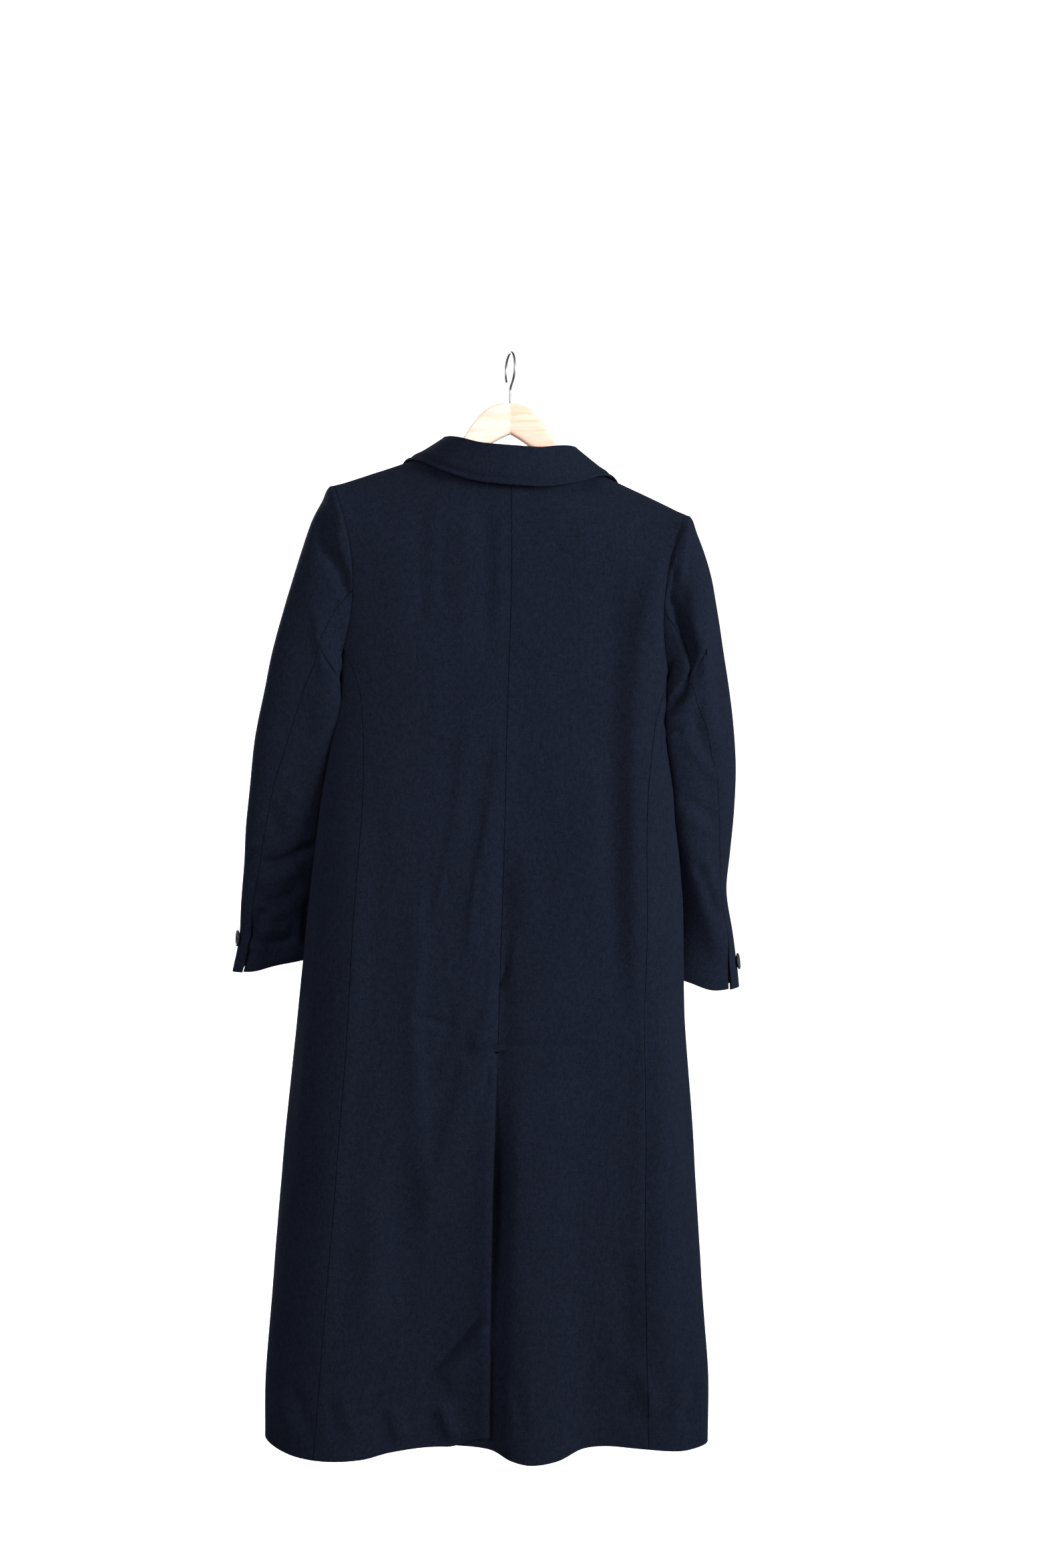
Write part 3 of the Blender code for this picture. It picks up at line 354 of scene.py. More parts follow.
def fold_lift(places, folds):
    """Height of the folds at places x, z in millimetres. A fold's row is its lift, its width
    on the left and on the right of the path, and the path, from where it starts to fade in."""
    lift = np.zeros(places.shape[:-1])
    for height, left, right, *path in folds:
        path = round_path(path)
        reach = 3 * max(left, right)
        inside = np.all(
            (places > path.min(axis=0) - reach) & (places < path.max(axis=0) + reach), axis=-1
        )
        near = places[inside]
        if not len(near):
            continue
        steps = np.diff(path, axis=0)
        lengths = np.linalg.norm(steps, axis=1)
        before = np.concatenate([[0], np.cumsum(lengths)])
        best = np.full(len(near), 1e9)
        along = np.zeros(len(near))
        side = np.zeros(len(near))
        for start, step, length, run in zip(path, steps, lengths, before):
            share = np.clip((near - start) @ step / length ** 2, 0, 1)
            gap = near - start - share[:, None] * step
            distance = np.linalg.norm(gap, axis=1)
            closer = distance < best
            best[closer] = distance[closer]
            along[closer] = (run + share * length)[closer] / before[-1]
            side[closer] = (gap[:, 0] * -step[1] + gap[:, 1] * step[0])[closer]
        width = np.where(side > 0, right, left)
        taper = smooth(along / 0.2) * smooth((1 - along) / 0.2)
        lift[inside] += height * bell(best, width) * taper
    return lift / 1000


def unevenness(points, scale, depth):
    """Slow unevenness of hung cloth, the same for panels that meet."""
    flat = points.reshape(-1, 3)
    values = [
        noise.noise((x * scale, y * scale, z * scale * WAVES_LONGER_DOWN)) for x, y, z in flat
    ]
    return np.array(values).reshape(points.shape[:-1]) * depth


def drape(points):
    """The slow and the fine unevenness of the cloth together."""
    return unevenness(points, *SLOW_WAVES) + unevenness(points, *FINE_WAVES)


def edge_run(points, edge):
    """Distance of each point of a grid from one of its edges, along the cloth."""
    axis = 0 if edge in ("top", "bottom") else 1
    turned = points if edge in ("top", "start") else np.flip(points, axis)
    steps = np.linalg.norm(np.diff(turned, axis=axis), axis=-1)
    pad = [(0, 0), (0, 0)]
    pad[axis] = (1, 0)
    run = np.pad(np.cumsum(steps, axis=axis), pad)
    return run if edge in ("top", "start") else np.flip(run, axis)


def beside_armhole(points, rows):
    """Share of a lift that is left beside the armhole, where the sleeve's edge must meet."""
    held = smooth(edge_run(points, "end") / HELD_BY_SEAM)
    below = smooth((np.arange(len(points)) - rows + 4) / 8)[:, None]
    return below + (1 - below) * held


def edge_fall(run, radius):
    """How far a face falls away beside an edge that is rounded to a radius."""
    inside = np.clip(radius - run, 0, radius)
    return radius - np.sqrt(radius ** 2 - inside ** 2)


def turn_outward(mesh):
    """Turn a closed mesh's faces so that they look outward."""
    work = bmesh.new()
    work.from_mesh(mesh)
    if work.calc_volume(signed=True) < 0:
        bmesh.ops.reverse_faces(work, faces=work.faces)
    work.to_mesh(mesh)
    work.free()


def new_object(name, data):
    """Put a mesh, a curve, a lamp or a camera into the scene under a name."""
    made = bpy.data.objects.new(name, data)
    bpy.context.scene.collection.objects.link(made)
    return made


def make_panel(name, points, away, seams=(), free=(), thickness=CLOTH):
    """A panel of cloth on a grid of points of its outer face. Seam edges roll in to their
    groove, free edges are turned and round. Gives the object and its flat size and area."""
    for edge in seams:
        if edge in ("start", "end"):
            here, following = (0, 1) if edge == "start" else (-1, -2)
            inward = points[:, following] - points[:, here]
            inward /= np.linalg.norm(inward, axis=-1, keepdims=True) + 1e-9
            points[:, here] -= inward * SEAM_OVERLAP / 2
    normals = grid_normals(points, away)
    outer = points.copy()
    inner = points - normals * thickness
    nearest = np.full(points.shape[:-1], 0.03)
    for edge in ("top", "bottom", "start", "end"):
        run = edge_run(points, edge)
        if edge in seams:
            outer -= normals * edge_fall(run, SEAM_ROLL)[..., None]
            nearest = np.minimum(nearest, run)
        if edge in free:
            fall = normals * edge_fall(run, thickness * TURNED_ROUND_SHARE)[..., None]
            outer -= fall
            inner += fall
    rows, columns = points.shape[:2]
    index = np.arange(rows * columns).reshape(rows, columns)
    quads = np.stack([index[:-1, :-1], index[:-1, 1:], index[1:, 1:], index[1:, :-1]], -1)
    quads = quads.reshape(-1, 4)
    rim = np.concatenate([index[0], index[1:, -1], index[-1, -2::-1], index[-2:0:-1, 0]])
    layer = rows * columns
    following = np.roll(rim, -1)
    sides = np.stack([following, rim, rim + layer, following + layer], -1)
    faces = np.concatenate([quads, quads[:, ::-1] + layer, sides])
    mesh = bpy.data.meshes.new(name)
    mesh.from_pydata(np.concatenate([outer, inner]).reshape(-1, 3).tolist(), [], faces.tolist())
    turn_outward(mesh)
    mesh.shade_smooth()
    # Distance to the nearest seam, which the melton uses for its painted groove shade
    beside = mesh.attributes.new("beside_seam", "FLOAT", "POINT")
    beside.data.foreach_set("value", np.tile(nearest.ravel(), 2))
    panel = new_object(name, mesh)
    across = points[:, 1:] - points[:, :-1]
    down = points[1:] - points[:-1]
    width = float(np.linalg.norm(across, axis=-1).sum(axis=1).max())
    length = float(np.linalg.norm(down, axis=-1).sum(axis=0).max())
    area = float(np.linalg.norm(np.cross(across[:-1], down[:, :-1]), axis=-1).sum())
    return panel, (width, length), min(area, width * length)


def linear(colour):
    """An sRGB hex colour as linear red, green, blue and alpha."""
    parts = [int(colour[place:place + 2], 16) / 255 for place in (0, 2, 4)]
    return [
        part / 12.92 if part <= 0.04045 else ((part + 0.055) / 1.055) ** 2.4 for part in parts
    ] + [1.0]


def add_node(tree, kind, settings=None, links=None):
    """Add a node with its settings and its links, inputs by name or place."""
    node = tree.nodes.new(kind)
    for name, value in (settings or {}).items():
        if isinstance(name, int) or name in node.inputs:
            node.inputs[name].default_value = value
        else:
            setattr(node, name, value)
    for name, source in (links or {}).items():
        tree.links.new(source, node.inputs[name])
    return node


def new_material(name):
    """An empty node material, with its tree and its Principled shader."""
    material = bpy.data.materials.new(name)
    material.use_nodes = True
    return material, material.node_tree, material.node_tree.nodes["Principled BSDF"]


def melton():
    """Fulled wool melton, piece-dyed navy and cropped: matt, with a fine felted nap that
    scatters light at grazing angles, and painted shade in the seams' grooves where it parts."""
    material, tree, shader = new_material("fulled wool melton, navy")
    place = add_node(tree, "ShaderNodeTexCoord").outputs["Object"]
    # A cropped nap is 0.3 mm; it is drawn at 1.6 mm so that it shows
    nap = add_node(
        tree, "ShaderNodeTexNoise", {"Scale": 620.0, "Detail": 3.0, "Roughness": 0.7},
        {"Vector": place},
    )
    # Fibre clumps of the fulling, some 5 mm long down the cloth
    grain = add_node(tree, "ShaderNodeMapping", {"Scale": (1.0, 1.0, 0.55)}, {"Vector": place})
    clumps = add_node(
        tree, "ShaderNodeTexNoise", {"Scale": 300.0, "Detail": 3.0, "Roughness": 0.6},
        {"Vector": grain.outputs["Vector"]},
    )
    # Brushed and pressed patches of the nap, 60 mm across
    patches = add_node(
        tree, "ShaderNodeTexNoise", {"Scale": 17.0, "Detail": 2.0, "Roughness": 0.5},
        {"Vector": grain.outputs["Vector"]},
    )
    surface = add_node(
        tree, "ShaderNodeMath", {"operation": "MULTIPLY_ADD", 1: 1.8},
        {0: nap.outputs["Fac"], 2: clumps.outputs["Fac"]},
    )
    tone = add_node(
        tree, "ShaderNodeMath", {"operation": "MULTIPLY_ADD", 1: 0.2},
        {0: patches.outputs["Fac"], 2: surface.outputs["Value"]},
    )
    shade = add_node(
        tree, "ShaderNodeMapRange", {"From Min": 1.05, "From Max": 1.95},
        {"Value": tone.outputs["Value"]},
    )
    dyed = add_node(
        tree, "ShaderNodeMix", {"data_type": "RGBA", 6: linear("0a0e16"), 7: linear("181d2b")},
        {0: shade.outputs["Result"]},
    )
    edge = add_node(tree, "ShaderNodeAttribute", {"attribute_name": "beside_seam"})
    # Painted shade in a seam's groove, where the nap also parts: the colour darkens
    # towards near black within 1.3 mm of the seam
    painted_groove_shade = add_node(
        tree, "ShaderNodeMapRange",
        {"From Min": 0.0, "From Max": 0.0013, "To Min": 0.75, "To Max": 0.0},
        {"Value": edge.outputs["Fac"]},
    )
    # Mix the painted groove shade into the dyed colour
    shaded_in_grooves = add_node(
        tree, "ShaderNodeMix", {"data_type": "RGBA", 7: linear("040508")},
        {0: painted_groove_shade.outputs["Result"], 6: dyed.outputs[2]},
    )
    felt = add_node(
        tree, "ShaderNodeBump", {"Strength": 0.55, "Distance": 0.0006},
        {"Height": surface.outputs["Value"]},
    )
    tree.links.new(shaded_in_grooves.outputs[2], shader.inputs["Base Color"])
    tree.links.new(felt.outputs["Normal"], shader.inputs["Normal"])
    shader.inputs["Roughness"].default_value = 0.95
    shader.inputs["IOR"].default_value = 1.45
    shader.inputs["Specular IOR Level"].default_value = 0.04
    shader.inputs["Sheen Weight"].default_value = 0.03
    shader.inputs["Sheen Roughness"].default_value = 0.45
    shader.inputs["Sheen Tint"].default_value = linear("8f9cc0")
    return material


wool = melton()

# Folds that the photograph shows on the back: lift, width left and width right in millimetres,
# then the path, by the pixels of the photograph where it runs
BACK_FOLDS = {
    "below the left shoulder": [
        (-1.7, 12, 10, (634, 735), (632, 830), (628, 960)),
        (-1.2, 5, 8, (664, 735), (661, 815), (664, 920)),
        (1.1, 8, 9, (700, 745), (697, 850), (690, 1000)),
        (-1.5, 6, 9, (727, 745), (728, 870), (727, 1010)),
        (1.1, 7, 8, (748, 750), (749, 850), (747, 940)),
        (0.7, 7, 16, (655, 980), (648, 1080), (640, 1200)),
    ],
    "diagonals from the blades to the vent": [
        (2.2, 6, 16, (750, 1080), (742, 1150), (728, 1250), (712, 1330), (700, 1400)),
        (1.9, 7, 14, (700, 1060), (690, 1160), (675, 1280), (655, 1370), (640, 1430)),
        (1.6, 6, 14, (735, 1180), (722, 1290), (708, 1370), (698, 1450)),
        (3.8, 20, 11, (626, 1290), (627, 1400), (619, 1500), (620, 1540), (624, 1620),
         (630, 1720), (638, 1800), (634, 1900)),
        (0.7, 5, 6, (646, 1405), (630, 1455), (618, 1500), (617, 1535), (622, 1590), (623, 1680)),
        (3.6, 11, 24, (740, 1490), (715, 1560), (690, 1640), (665, 1720), (650, 1790), (640, 1860)),
        (-2.0, 9, 15, (756, 1290), (750, 1345), (733, 1390), (723, 1415), (727, 1460),
         (720, 1513), (707, 1557)),
        (-3.4, 3, 4, (616, 1521), (640, 1529), (674, 1538)),
        (-2.2, 5, 9, (668, 1480), (672, 1535), (660, 1568), (643, 1613), (637, 1634)),
        (-1.4, 4, 9, (722, 1280), (716, 1345), (712, 1400)),
        (-1.4, 4, 9, (678, 1270), (668, 1330), (660, 1370)),
        (-1.8, 4, 6, (738, 1580), (731, 1606), (728, 1640)),
        (1.6, 4, 5, (742, 1580), (737, 1606), (735, 1640)),
    ],
    "left skirt": [
        (2.6, 22, 18, (550, 1760), (556, 1880), (552, 2010)),
        (-2.4, 18, 20, (606, 1700), (604, 1880), (598, 2030)),
    ],
    "right armhole to the waist": [
        (9.5, 15, 34, (1008, 800), (986, 860), (964, 930), (955, 1020), (951, 1150),
         (952, 1300), (954, 1420), (960, 1560)),
        (-2.6, 22, 12, (926, 800), (918, 900), (914, 1000), (912, 1150), (914, 1290), (920, 1440)),
        (1.6, 20, 9, (888, 1100), (892, 1250), (902, 1360), (912, 1480)),
    ],
    "side-back seams of the skirt": [
        (6.0, 27, 22, (988, 1470), (990, 1660), (992, 1830), (996, 2000), (1000, 2100)),
        (4.4, 36, 17, (541, 1144), (526, 1428), (508, 1665), (482, 1961), (466, 2163)),
        (-1.6, 4, 11, (969, 1440), (971, 1600), (970, 1780), (968, 1960)),
        (0.6, 8, 5, (960, 1440), (962, 1600), (960, 1780), (958, 1960)),
        (-2.4, 14, 12, (936, 1880), (938, 1960), (944, 2060)),
    ],
    "under the collar's edge": [
        (-2.6, 5, 9, (770, 738), (810, 736), (845, 731), (878, 724), (905, 715)),
    ],
    "centre seam and the head of the vent": [
        (-5.0, 9, 17, (757, 1250), (755, 1330), (750, 1440), (747, 1540), (744, 1640)),
        (1.0, 24, 5, (750, 1340), (746, 1450), (741, 1560)),
        (-1.0, 5, 5, (742, 1002), (790, 1001), (845, 1003)),
        (-3.6, 3, 4, (763, 1444), (757, 1458), (748, 1478), (744, 1490)),
        (1.4, 3, 5, (772, 1400), (768, 1436), (758, 1474)),
        (-5.0, 4, 5, (746, 1567), (735, 1571), (716, 1579), (692, 1590)),
        (2.6, 5, 6, (748, 1548), (728, 1558), (704, 1568)),
        (-2.4, 3, 4, (736, 1567), (790, 1567), (830, 1566), (886, 1568)),
    ],
    "short creases of the skirt": [
        (-1.2, 4, 5, (530, 1451), (560, 1450), (592, 1451)),
        (-1.0, 4, 5, (886, 1654), (905, 1654), (925, 1658)),
        (-1.0, 5, 6, (830, 1846), (855, 1845), (885, 1848)),
        (-1.0, 5, 6, (552, 1800), (578, 1797), (602, 1800)),
        (-1.2, 4, 6, (535, 1768), (555, 1752), (575, 1738)),
    ],
    "hem": [
        (-4.4, 3, 4, (730, 1965), (706, 1995), (676, 2032), (648, 2062), (626, 2090)),
        (4.0, 9, 16, (736, 1990), (712, 2020), (686, 2050), (655, 2082)),
        (-2.0, 5, 7, (628, 2104), (660, 2106), (702, 2100)),
        (5.0, 8, 10, (656, 2112), (668, 2140), (680, 2168)),
        (4.4, 8, 10, (580, 2112), (590, 2140), (596, 2170)),
        (-2.2, 5, 8, (902, 2032), (890, 2050), (868, 2086)),
        (-1.8, 6, 8, (770, 2060), (776, 2110), (786, 2160)),
        (3.4, 9, 9, (962, 2062), (974, 2100), (982, 2140)),
        (-1.4, 6, 8, (948, 2076), (940, 2110), (938, 2150)),
        (-4.2, 7, 9, (1050, 2090), (1040, 2128), (1024, 2160)),
        (2.4, 7, 7, (1030, 2080), (1018, 2110), (1010, 2150)),
        (2.4, 7, 8, (404, 2100), (418, 2130), (436, 2168)),
        (-2.0, 6, 7, (430, 2080), (446, 2110), (462, 2160)),
        (2.0, 6, 8, (505, 2090), (517, 2120), (530, 2164)),
        (-1.8, 6, 8, (572, 2060), (560, 2095), (545, 2135)),
        (-1.4, 5, 6, (490, 2100), (496, 2130), (500, 2160)),
    ],
    "shoulders": [
        (-1.4, 4, 5, (560, 770), (580, 785), (600, 792)),
        (-1.6, 4, 5, (944, 800), (956, 788), (966, 776)),
        (1.4, 5, 6, (935, 790), (948, 778), (958, 766)),
    ],
}
BACK_Y = -0.072
# The photograph's middle and its focal length in pixels, and where its camera stood
PHOTO_MIDDLE_X = 784
PHOTO_MIDDLE_Y = 1174.5
PHOTO_FOCAL = 2303
CAMERA_X = 0.0165
CAMERA_Y = -1.90
CAMERA_Z = -0.531


def from_photo(groups, cloth_y):
    """Rows of folds with their paths as x, z in whole millimetres, for cloth that hangs at
    the y that cloth_y gives for a height. A few rounds settle the height and its y."""
    rows = []
    for group in groups.values():
        for lift, left, right, *pixels in group:
            path = []
            for across_photo, down_photo in pixels:
                height = CAMERA_Z
                for _ in range(6):
                    scale = (cloth_y(height) - CAMERA_Y) / PHOTO_FOCAL
                    height = CAMERA_Z - (down_photo - PHOTO_MIDDLE_Y) * scale
                x = CAMERA_X + (across_photo - PHOTO_MIDDLE_X) * scale
                path.append((round(x * 1000), round(height * 1000)))
            rows.append((lift, left, right, *path))
    return rows


back_folds = from_photo(BACK_FOLDS, lambda height: BACK_Y)

rows_above = shoulder_rows()
rows_below = spread(SIDE_TOP_Z - HEM_Z)[len(BESIDE_EDGE):]
across = spread(BACK_WIDTH)
cross, level = np.meshgrid(across, SIDE_TOP_Z + (HEM_Z - SIDE_TOP_Z) * rows_below)
cross_above, down = np.meshgrid(across, rows_above)
for name, side in (("left", -1), ("right", 1)):
    centre = CENTRE_BACK.read("x", level)
    seam = side * SIDE_SEAMS.read("back_" + name, level)
    lapped = smooth((VENT_TOP_Z - level) / VENT_TURN_IN)
    start = centre - (VENT_LAP * lapped if side == 1 else 0.0)
    x = start + (seam - start) * cross
    lower = ring_point("back", level, x)
    points = np.concatenate([upper_point("back", side, cross_above, down, 0.0), lower])
    points = ease_joint(points, len(rows_above), across)
    height = points[..., 2]
    from_centre = points[..., 0] - CENTRE_BACK.read("x", height)
    normals = grid_normals(points, body_away(points))
    below_top = VENT_TOP_Z - height
    below_vent = smooth(below_top / VENT_STARTS_OVER)
    if side == 1:
        under = smooth((VENT_SINK_REACH - from_centre) / (VENT_SINK_REACH + VENT_PLAY))
        hollow = VENT_HOLLOW * bell(height - VENT_HOLLOW_Z, VENT_HOLLOW_HALF)
        opening = VENT_OPEN_AT_TOP + (1 - VENT_OPEN_AT_TOP) * smooth(below_top / VENT_OPENS_OVER)
        beside_lap = smooth((from_centre + VENT_PLAY) / (2 * VENT_PLAY))
        slow = smooth(below_top / VENT_STARTS_SLOWLY)
        below_vent = below_vent * (1 - beside_lap) + slow * beside_lap
        points -= normals * ((VENT_SINK * opening + hollow) * below_vent * under)[..., None]
    else:
        low = smooth((CORNER_TOP_Z - height) / (CORNER_TOP_Z - HEM_Z))
        near = smooth((points[..., 0] - CORNER_X) / CORNER_REACH)
        curl = smooth(1 + from_centre / VENT_CURL_REACH)
        curl = curl * smooth((VENT_CURL_TOP_Z - height) / VENT_CURL_OVER)
        rolled = smooth(1 + from_centre / VENT_ROLL_REACH) * below_vent
        points += normals * (VENT_CURL * curl - VENT_EDGE_ROLL * rolled)[..., None]
        points[..., 2] += CORNER_LIFT * low * near
    points = hang(points)
    normals = grid_normals(points, body_away(points))
    lift = fold_lift(points[..., [0, 2]] * 1000, back_folds) + drape(points)
    up_hem = edge_run(points, "bottom")
    lift -= TURN_UP_GROOVE * bell(up_hem - TURN_UP, TURN_UP_GROOVE_HALF)
    points += normals * (lift * beside_armhole(points, len(rows_above)))[..., None]
    panel, flat, area = make_panel(
        "back_" + name + "_cloth", points, body_away(points),
        seams=("top", "start", "end"), free=("bottom",),
    )
    panel.data.materials.append(wool)
    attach(panel, "root")
    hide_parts("back_" + name)


# The side bodies
# A narrow panel of the same melton under each arm, between the back and the front, which
# takes the fullness of the skirt round the hip. Its top edge dips under the sleeve.

SIDE_WIDTH = 0.17
DIP_ROWS_DEPTH = 0.14
DIP_HOLD = 0.032
DIP_CORNER_SHARE = 0.15


def side_angle(seam, height):
    """Angle on the body ring where a seam beside the side body runs."""
    share = SIDE_SEAMS.read(seam, height) / BODY.read("half_width", height)
    angle = np.arccos(np.clip(share, 0, 1) ** (squareness(height) / 2))
    return angle if seam == "front" else -angle


def side_point(height, angle, side):
    """Point of the body ring by angle: below 0 towards the back, above 0 to the front."""
    power = 2 / squareness(height)
    across_ring = np.cos(angle) ** power
    reach = np.abs(np.sin(angle)) ** power
    back = sheet_depth("back", height, across_ring * side)
    front = sheet_depth("front", height, across_ring * side)
    depth = reach * np.where(angle < 0, -back, front)
    return np.stack([side * across_ring * BODY.read("half_width", height), depth, height], -1)


# Folds of both sides in millimetres: lift, widths, path y, z
SIDE_FOLDS = [
    (3.0, 14, 16, (0, -560), (6, -760), (2, -980), (8, -1240)),
    (-2.6, 12, 14, (-28, -620), (-24, -820), (-30, -1080)),
    (-2.4, 10, 12, (34, -640), (30, -860), (36, -1120)),
    (-1.8, 5, 7, (-30, -470), (0, -490), (30, -486)),
]

turns = spread(SIDE_WIDTH)
heights = SIDE_TOP_Z + (HEM_Z - SIDE_TOP_Z) * spread(SIDE_TOP_Z - HEM_Z)
turn, level = np.meshgrid(turns, heights)
first = float(loop_angle(SIDE_TOP_Z))
for name, side in (("left", -1), ("right", 1)):
    loop = armhole(first + (2 * math.pi - 2 * first) * turn)
    fade = np.clip(1 - (SIDE_TOP_Z - level) / DIP_ROWS_DEPTH, 0, 1)
    height = level + (loop[..., 2] - SIDE_TOP_Z) * fade
    start = side_angle("back_" + name, level)
    end = side_angle("front", level)
    points = side_point(height, start + (end - start) * turn, side)
    reach = DIP_HOLD * smooth(turn / DIP_CORNER_SHARE) * smooth((1 - turn) / DIP_CORNER_SHARE)
    hold = np.clip(1 - (SIDE_TOP_Z - level) / (reach + 0.000001), 0, 1)
    points[..., :2] += (loop[..., :2] * [side, 1] - points[..., :2]) * hold[..., None]
    points = hang(points)
    normals = grid_normals(points, body_away(points))
    # Where it turns to the back, it shares the folds that run over the side-back seam
    facing_back = smooth(-(normals[..., 1] + 0.30) / 0.5)
    lift = drape(points) + fold_lift(points[..., [1, 2]] * 1000, SIDE_FOLDS)
    lift += fold_lift(points[..., [0, 2]] * 1000, back_folds) * facing_back
    lift *= smooth(edge_run(points, "top") / HELD_BY_SEAM)
    points += normals * lift[..., None]
    panel, flat, area = make_panel(
        "side_" + name + "_cloth", points, body_away(points),
        seams=("top", "start", "end"), free=("bottom",),
    )
    panel.data.materials.append(wool)
    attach(panel, "root")
    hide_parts("side_" + name)


# The fronts
# Two halves of melton, open from the turned lapels down to the first button. Below that the
# right laps over the left and is buttoned; the free edges are turned and pressed.

FRONT_WIDTH = 0.215
FRONT_LAP = 0.025
# Where the lapels break open above the first button, and how the left front lies beneath
BREAK_Z = -0.450
LAP_DEPTH = 0.0042
UNDER_LAP_X = 0.065
UNDER_LAP_REACH = 0.035
UNDER_LAP_TOP_Z = -0.27
UNDER_LAP_EASE = 0.08


def roll_line(height):
    """Inner edge of a front: the roll line down to the break, then the lapping edge."""
    share = np.clip((height - BREAK_Z) / (NECK_Z - BREAK_Z), 0, 1)
    return -FRONT_LAP + (NECK_X + FRONT_LAP) * share


def under_lap(x, height):
    """How far the left front lies behind the right one near the middle."""
    near = smooth((UNDER_LAP_X - x) / UNDER_LAP_REACH)
    return LAP_DEPTH * near * smooth((UNDER_LAP_TOP_Z - height) / UNDER_LAP_EASE)


# Folds of both fronts in millimetres: lift, widths, path x, z
FRONT_FOLDS = [
    (2.2, 9, 14, (-150, -270), (-140, -340), (-128, -430), (-120, -520)),
    (-2.4, 8, 12, (-176, -300), (-164, -370), (-148, -440), (-138, -520)),
    (2.4, 9, 12, (168, -300), (158, -380), (140, -470), (128, -560)),
    (-2.0, 7, 10, (184, -330), (176, -410), (160, -480)),
    (-1.6, 4, 5, (-6, -474), (-34, -470), (-70, -462)),
    (-1.4, 4, 5, (8, -600), (40, -604), (74, -612)),
    (1.2, 5, 6, (-8, -606), (-40, -600), (-80, -590)),
    (-1.4, 4, 5, (6, -728), (36, -738), (66, -752)),
    (4.0, 20, 26, (-110, -720), (-118, -900), (-130, -1100), (-140, -1290)),
    (-3.6, 18, 24, (-70, -800), (-72, -980), (-78, -1180), (-84, -1300)),
    (4.2, 22, 26, (90, -760), (104, -950), (120, -1150), (132, -1300)),
    (-3.4, 18, 22, (150, -820), (160, -1000), (170, -1200)),
    (-2.0, 6, 9, (-180, -560), (-150, -590), (-118, -604)),
    (2.0, 6, 9, (190, -600), (160, -622), (130, -640)),
    (-2.0, 6, 8, (-40, -1262), (-46, -1290), (-50, -1325)),
    (2.4, 8, 9, (52, -1255), (58, -1285), (62, -1322)),
]

rows_below = spread(SIDE_TOP_Z - HEM_Z)[len(BESIDE_EDGE):]
across = spread(FRONT_WIDTH)
cross, level = np.meshgrid(across, SIDE_TOP_Z + (HEM_Z - SIDE_TOP_Z) * rows_below)
cross_above, down = np.meshgrid(across, rows_above)
for name, side in (("left", -1), ("right", 1)):
    inside = roll_line(level)
    x = inside + (SIDE_SEAMS.read("front", level) - inside) * cross
    lower = ring_point("front", level, side * x)
    inside_above = roll_line(NECK_Z + (SIDE_TOP_Z - NECK_Z) * down)
    upper = upper_point("front", side, cross_above, down, inside_above)
    points = np.concatenate([upper, lower])
    points = ease_joint(points, len(rows_above), across)
    if side == -1:
        normals = grid_normals(points, body_away(points))
        points -= normals * under_lap(-points[..., 0], points[..., 2])[..., None]
    points = hang(points)
    normals = grid_normals(points, body_away(points))
    lift = drape(points) + fold_lift(points[..., [0, 2]] * 1000, FRONT_FOLDS)
    points += normals * (lift * beside_armhole(points, len(rows_above)))[..., None]
    panel, flat, area = make_panel(
        "front_" + name + "_cloth", points, body_away(points),
        seams=("top", "end"), free=("start", "bottom"),
    )
    panel.data.materials.append(wool)
    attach(panel, "root")
    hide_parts("front_" + name)


# The sleeves
# Each is a top and an under sleeve of melton, set into the armhole with the head eased over
# the seam. They hang empty, so they flatten below the elbow and crease above the cuff vent.

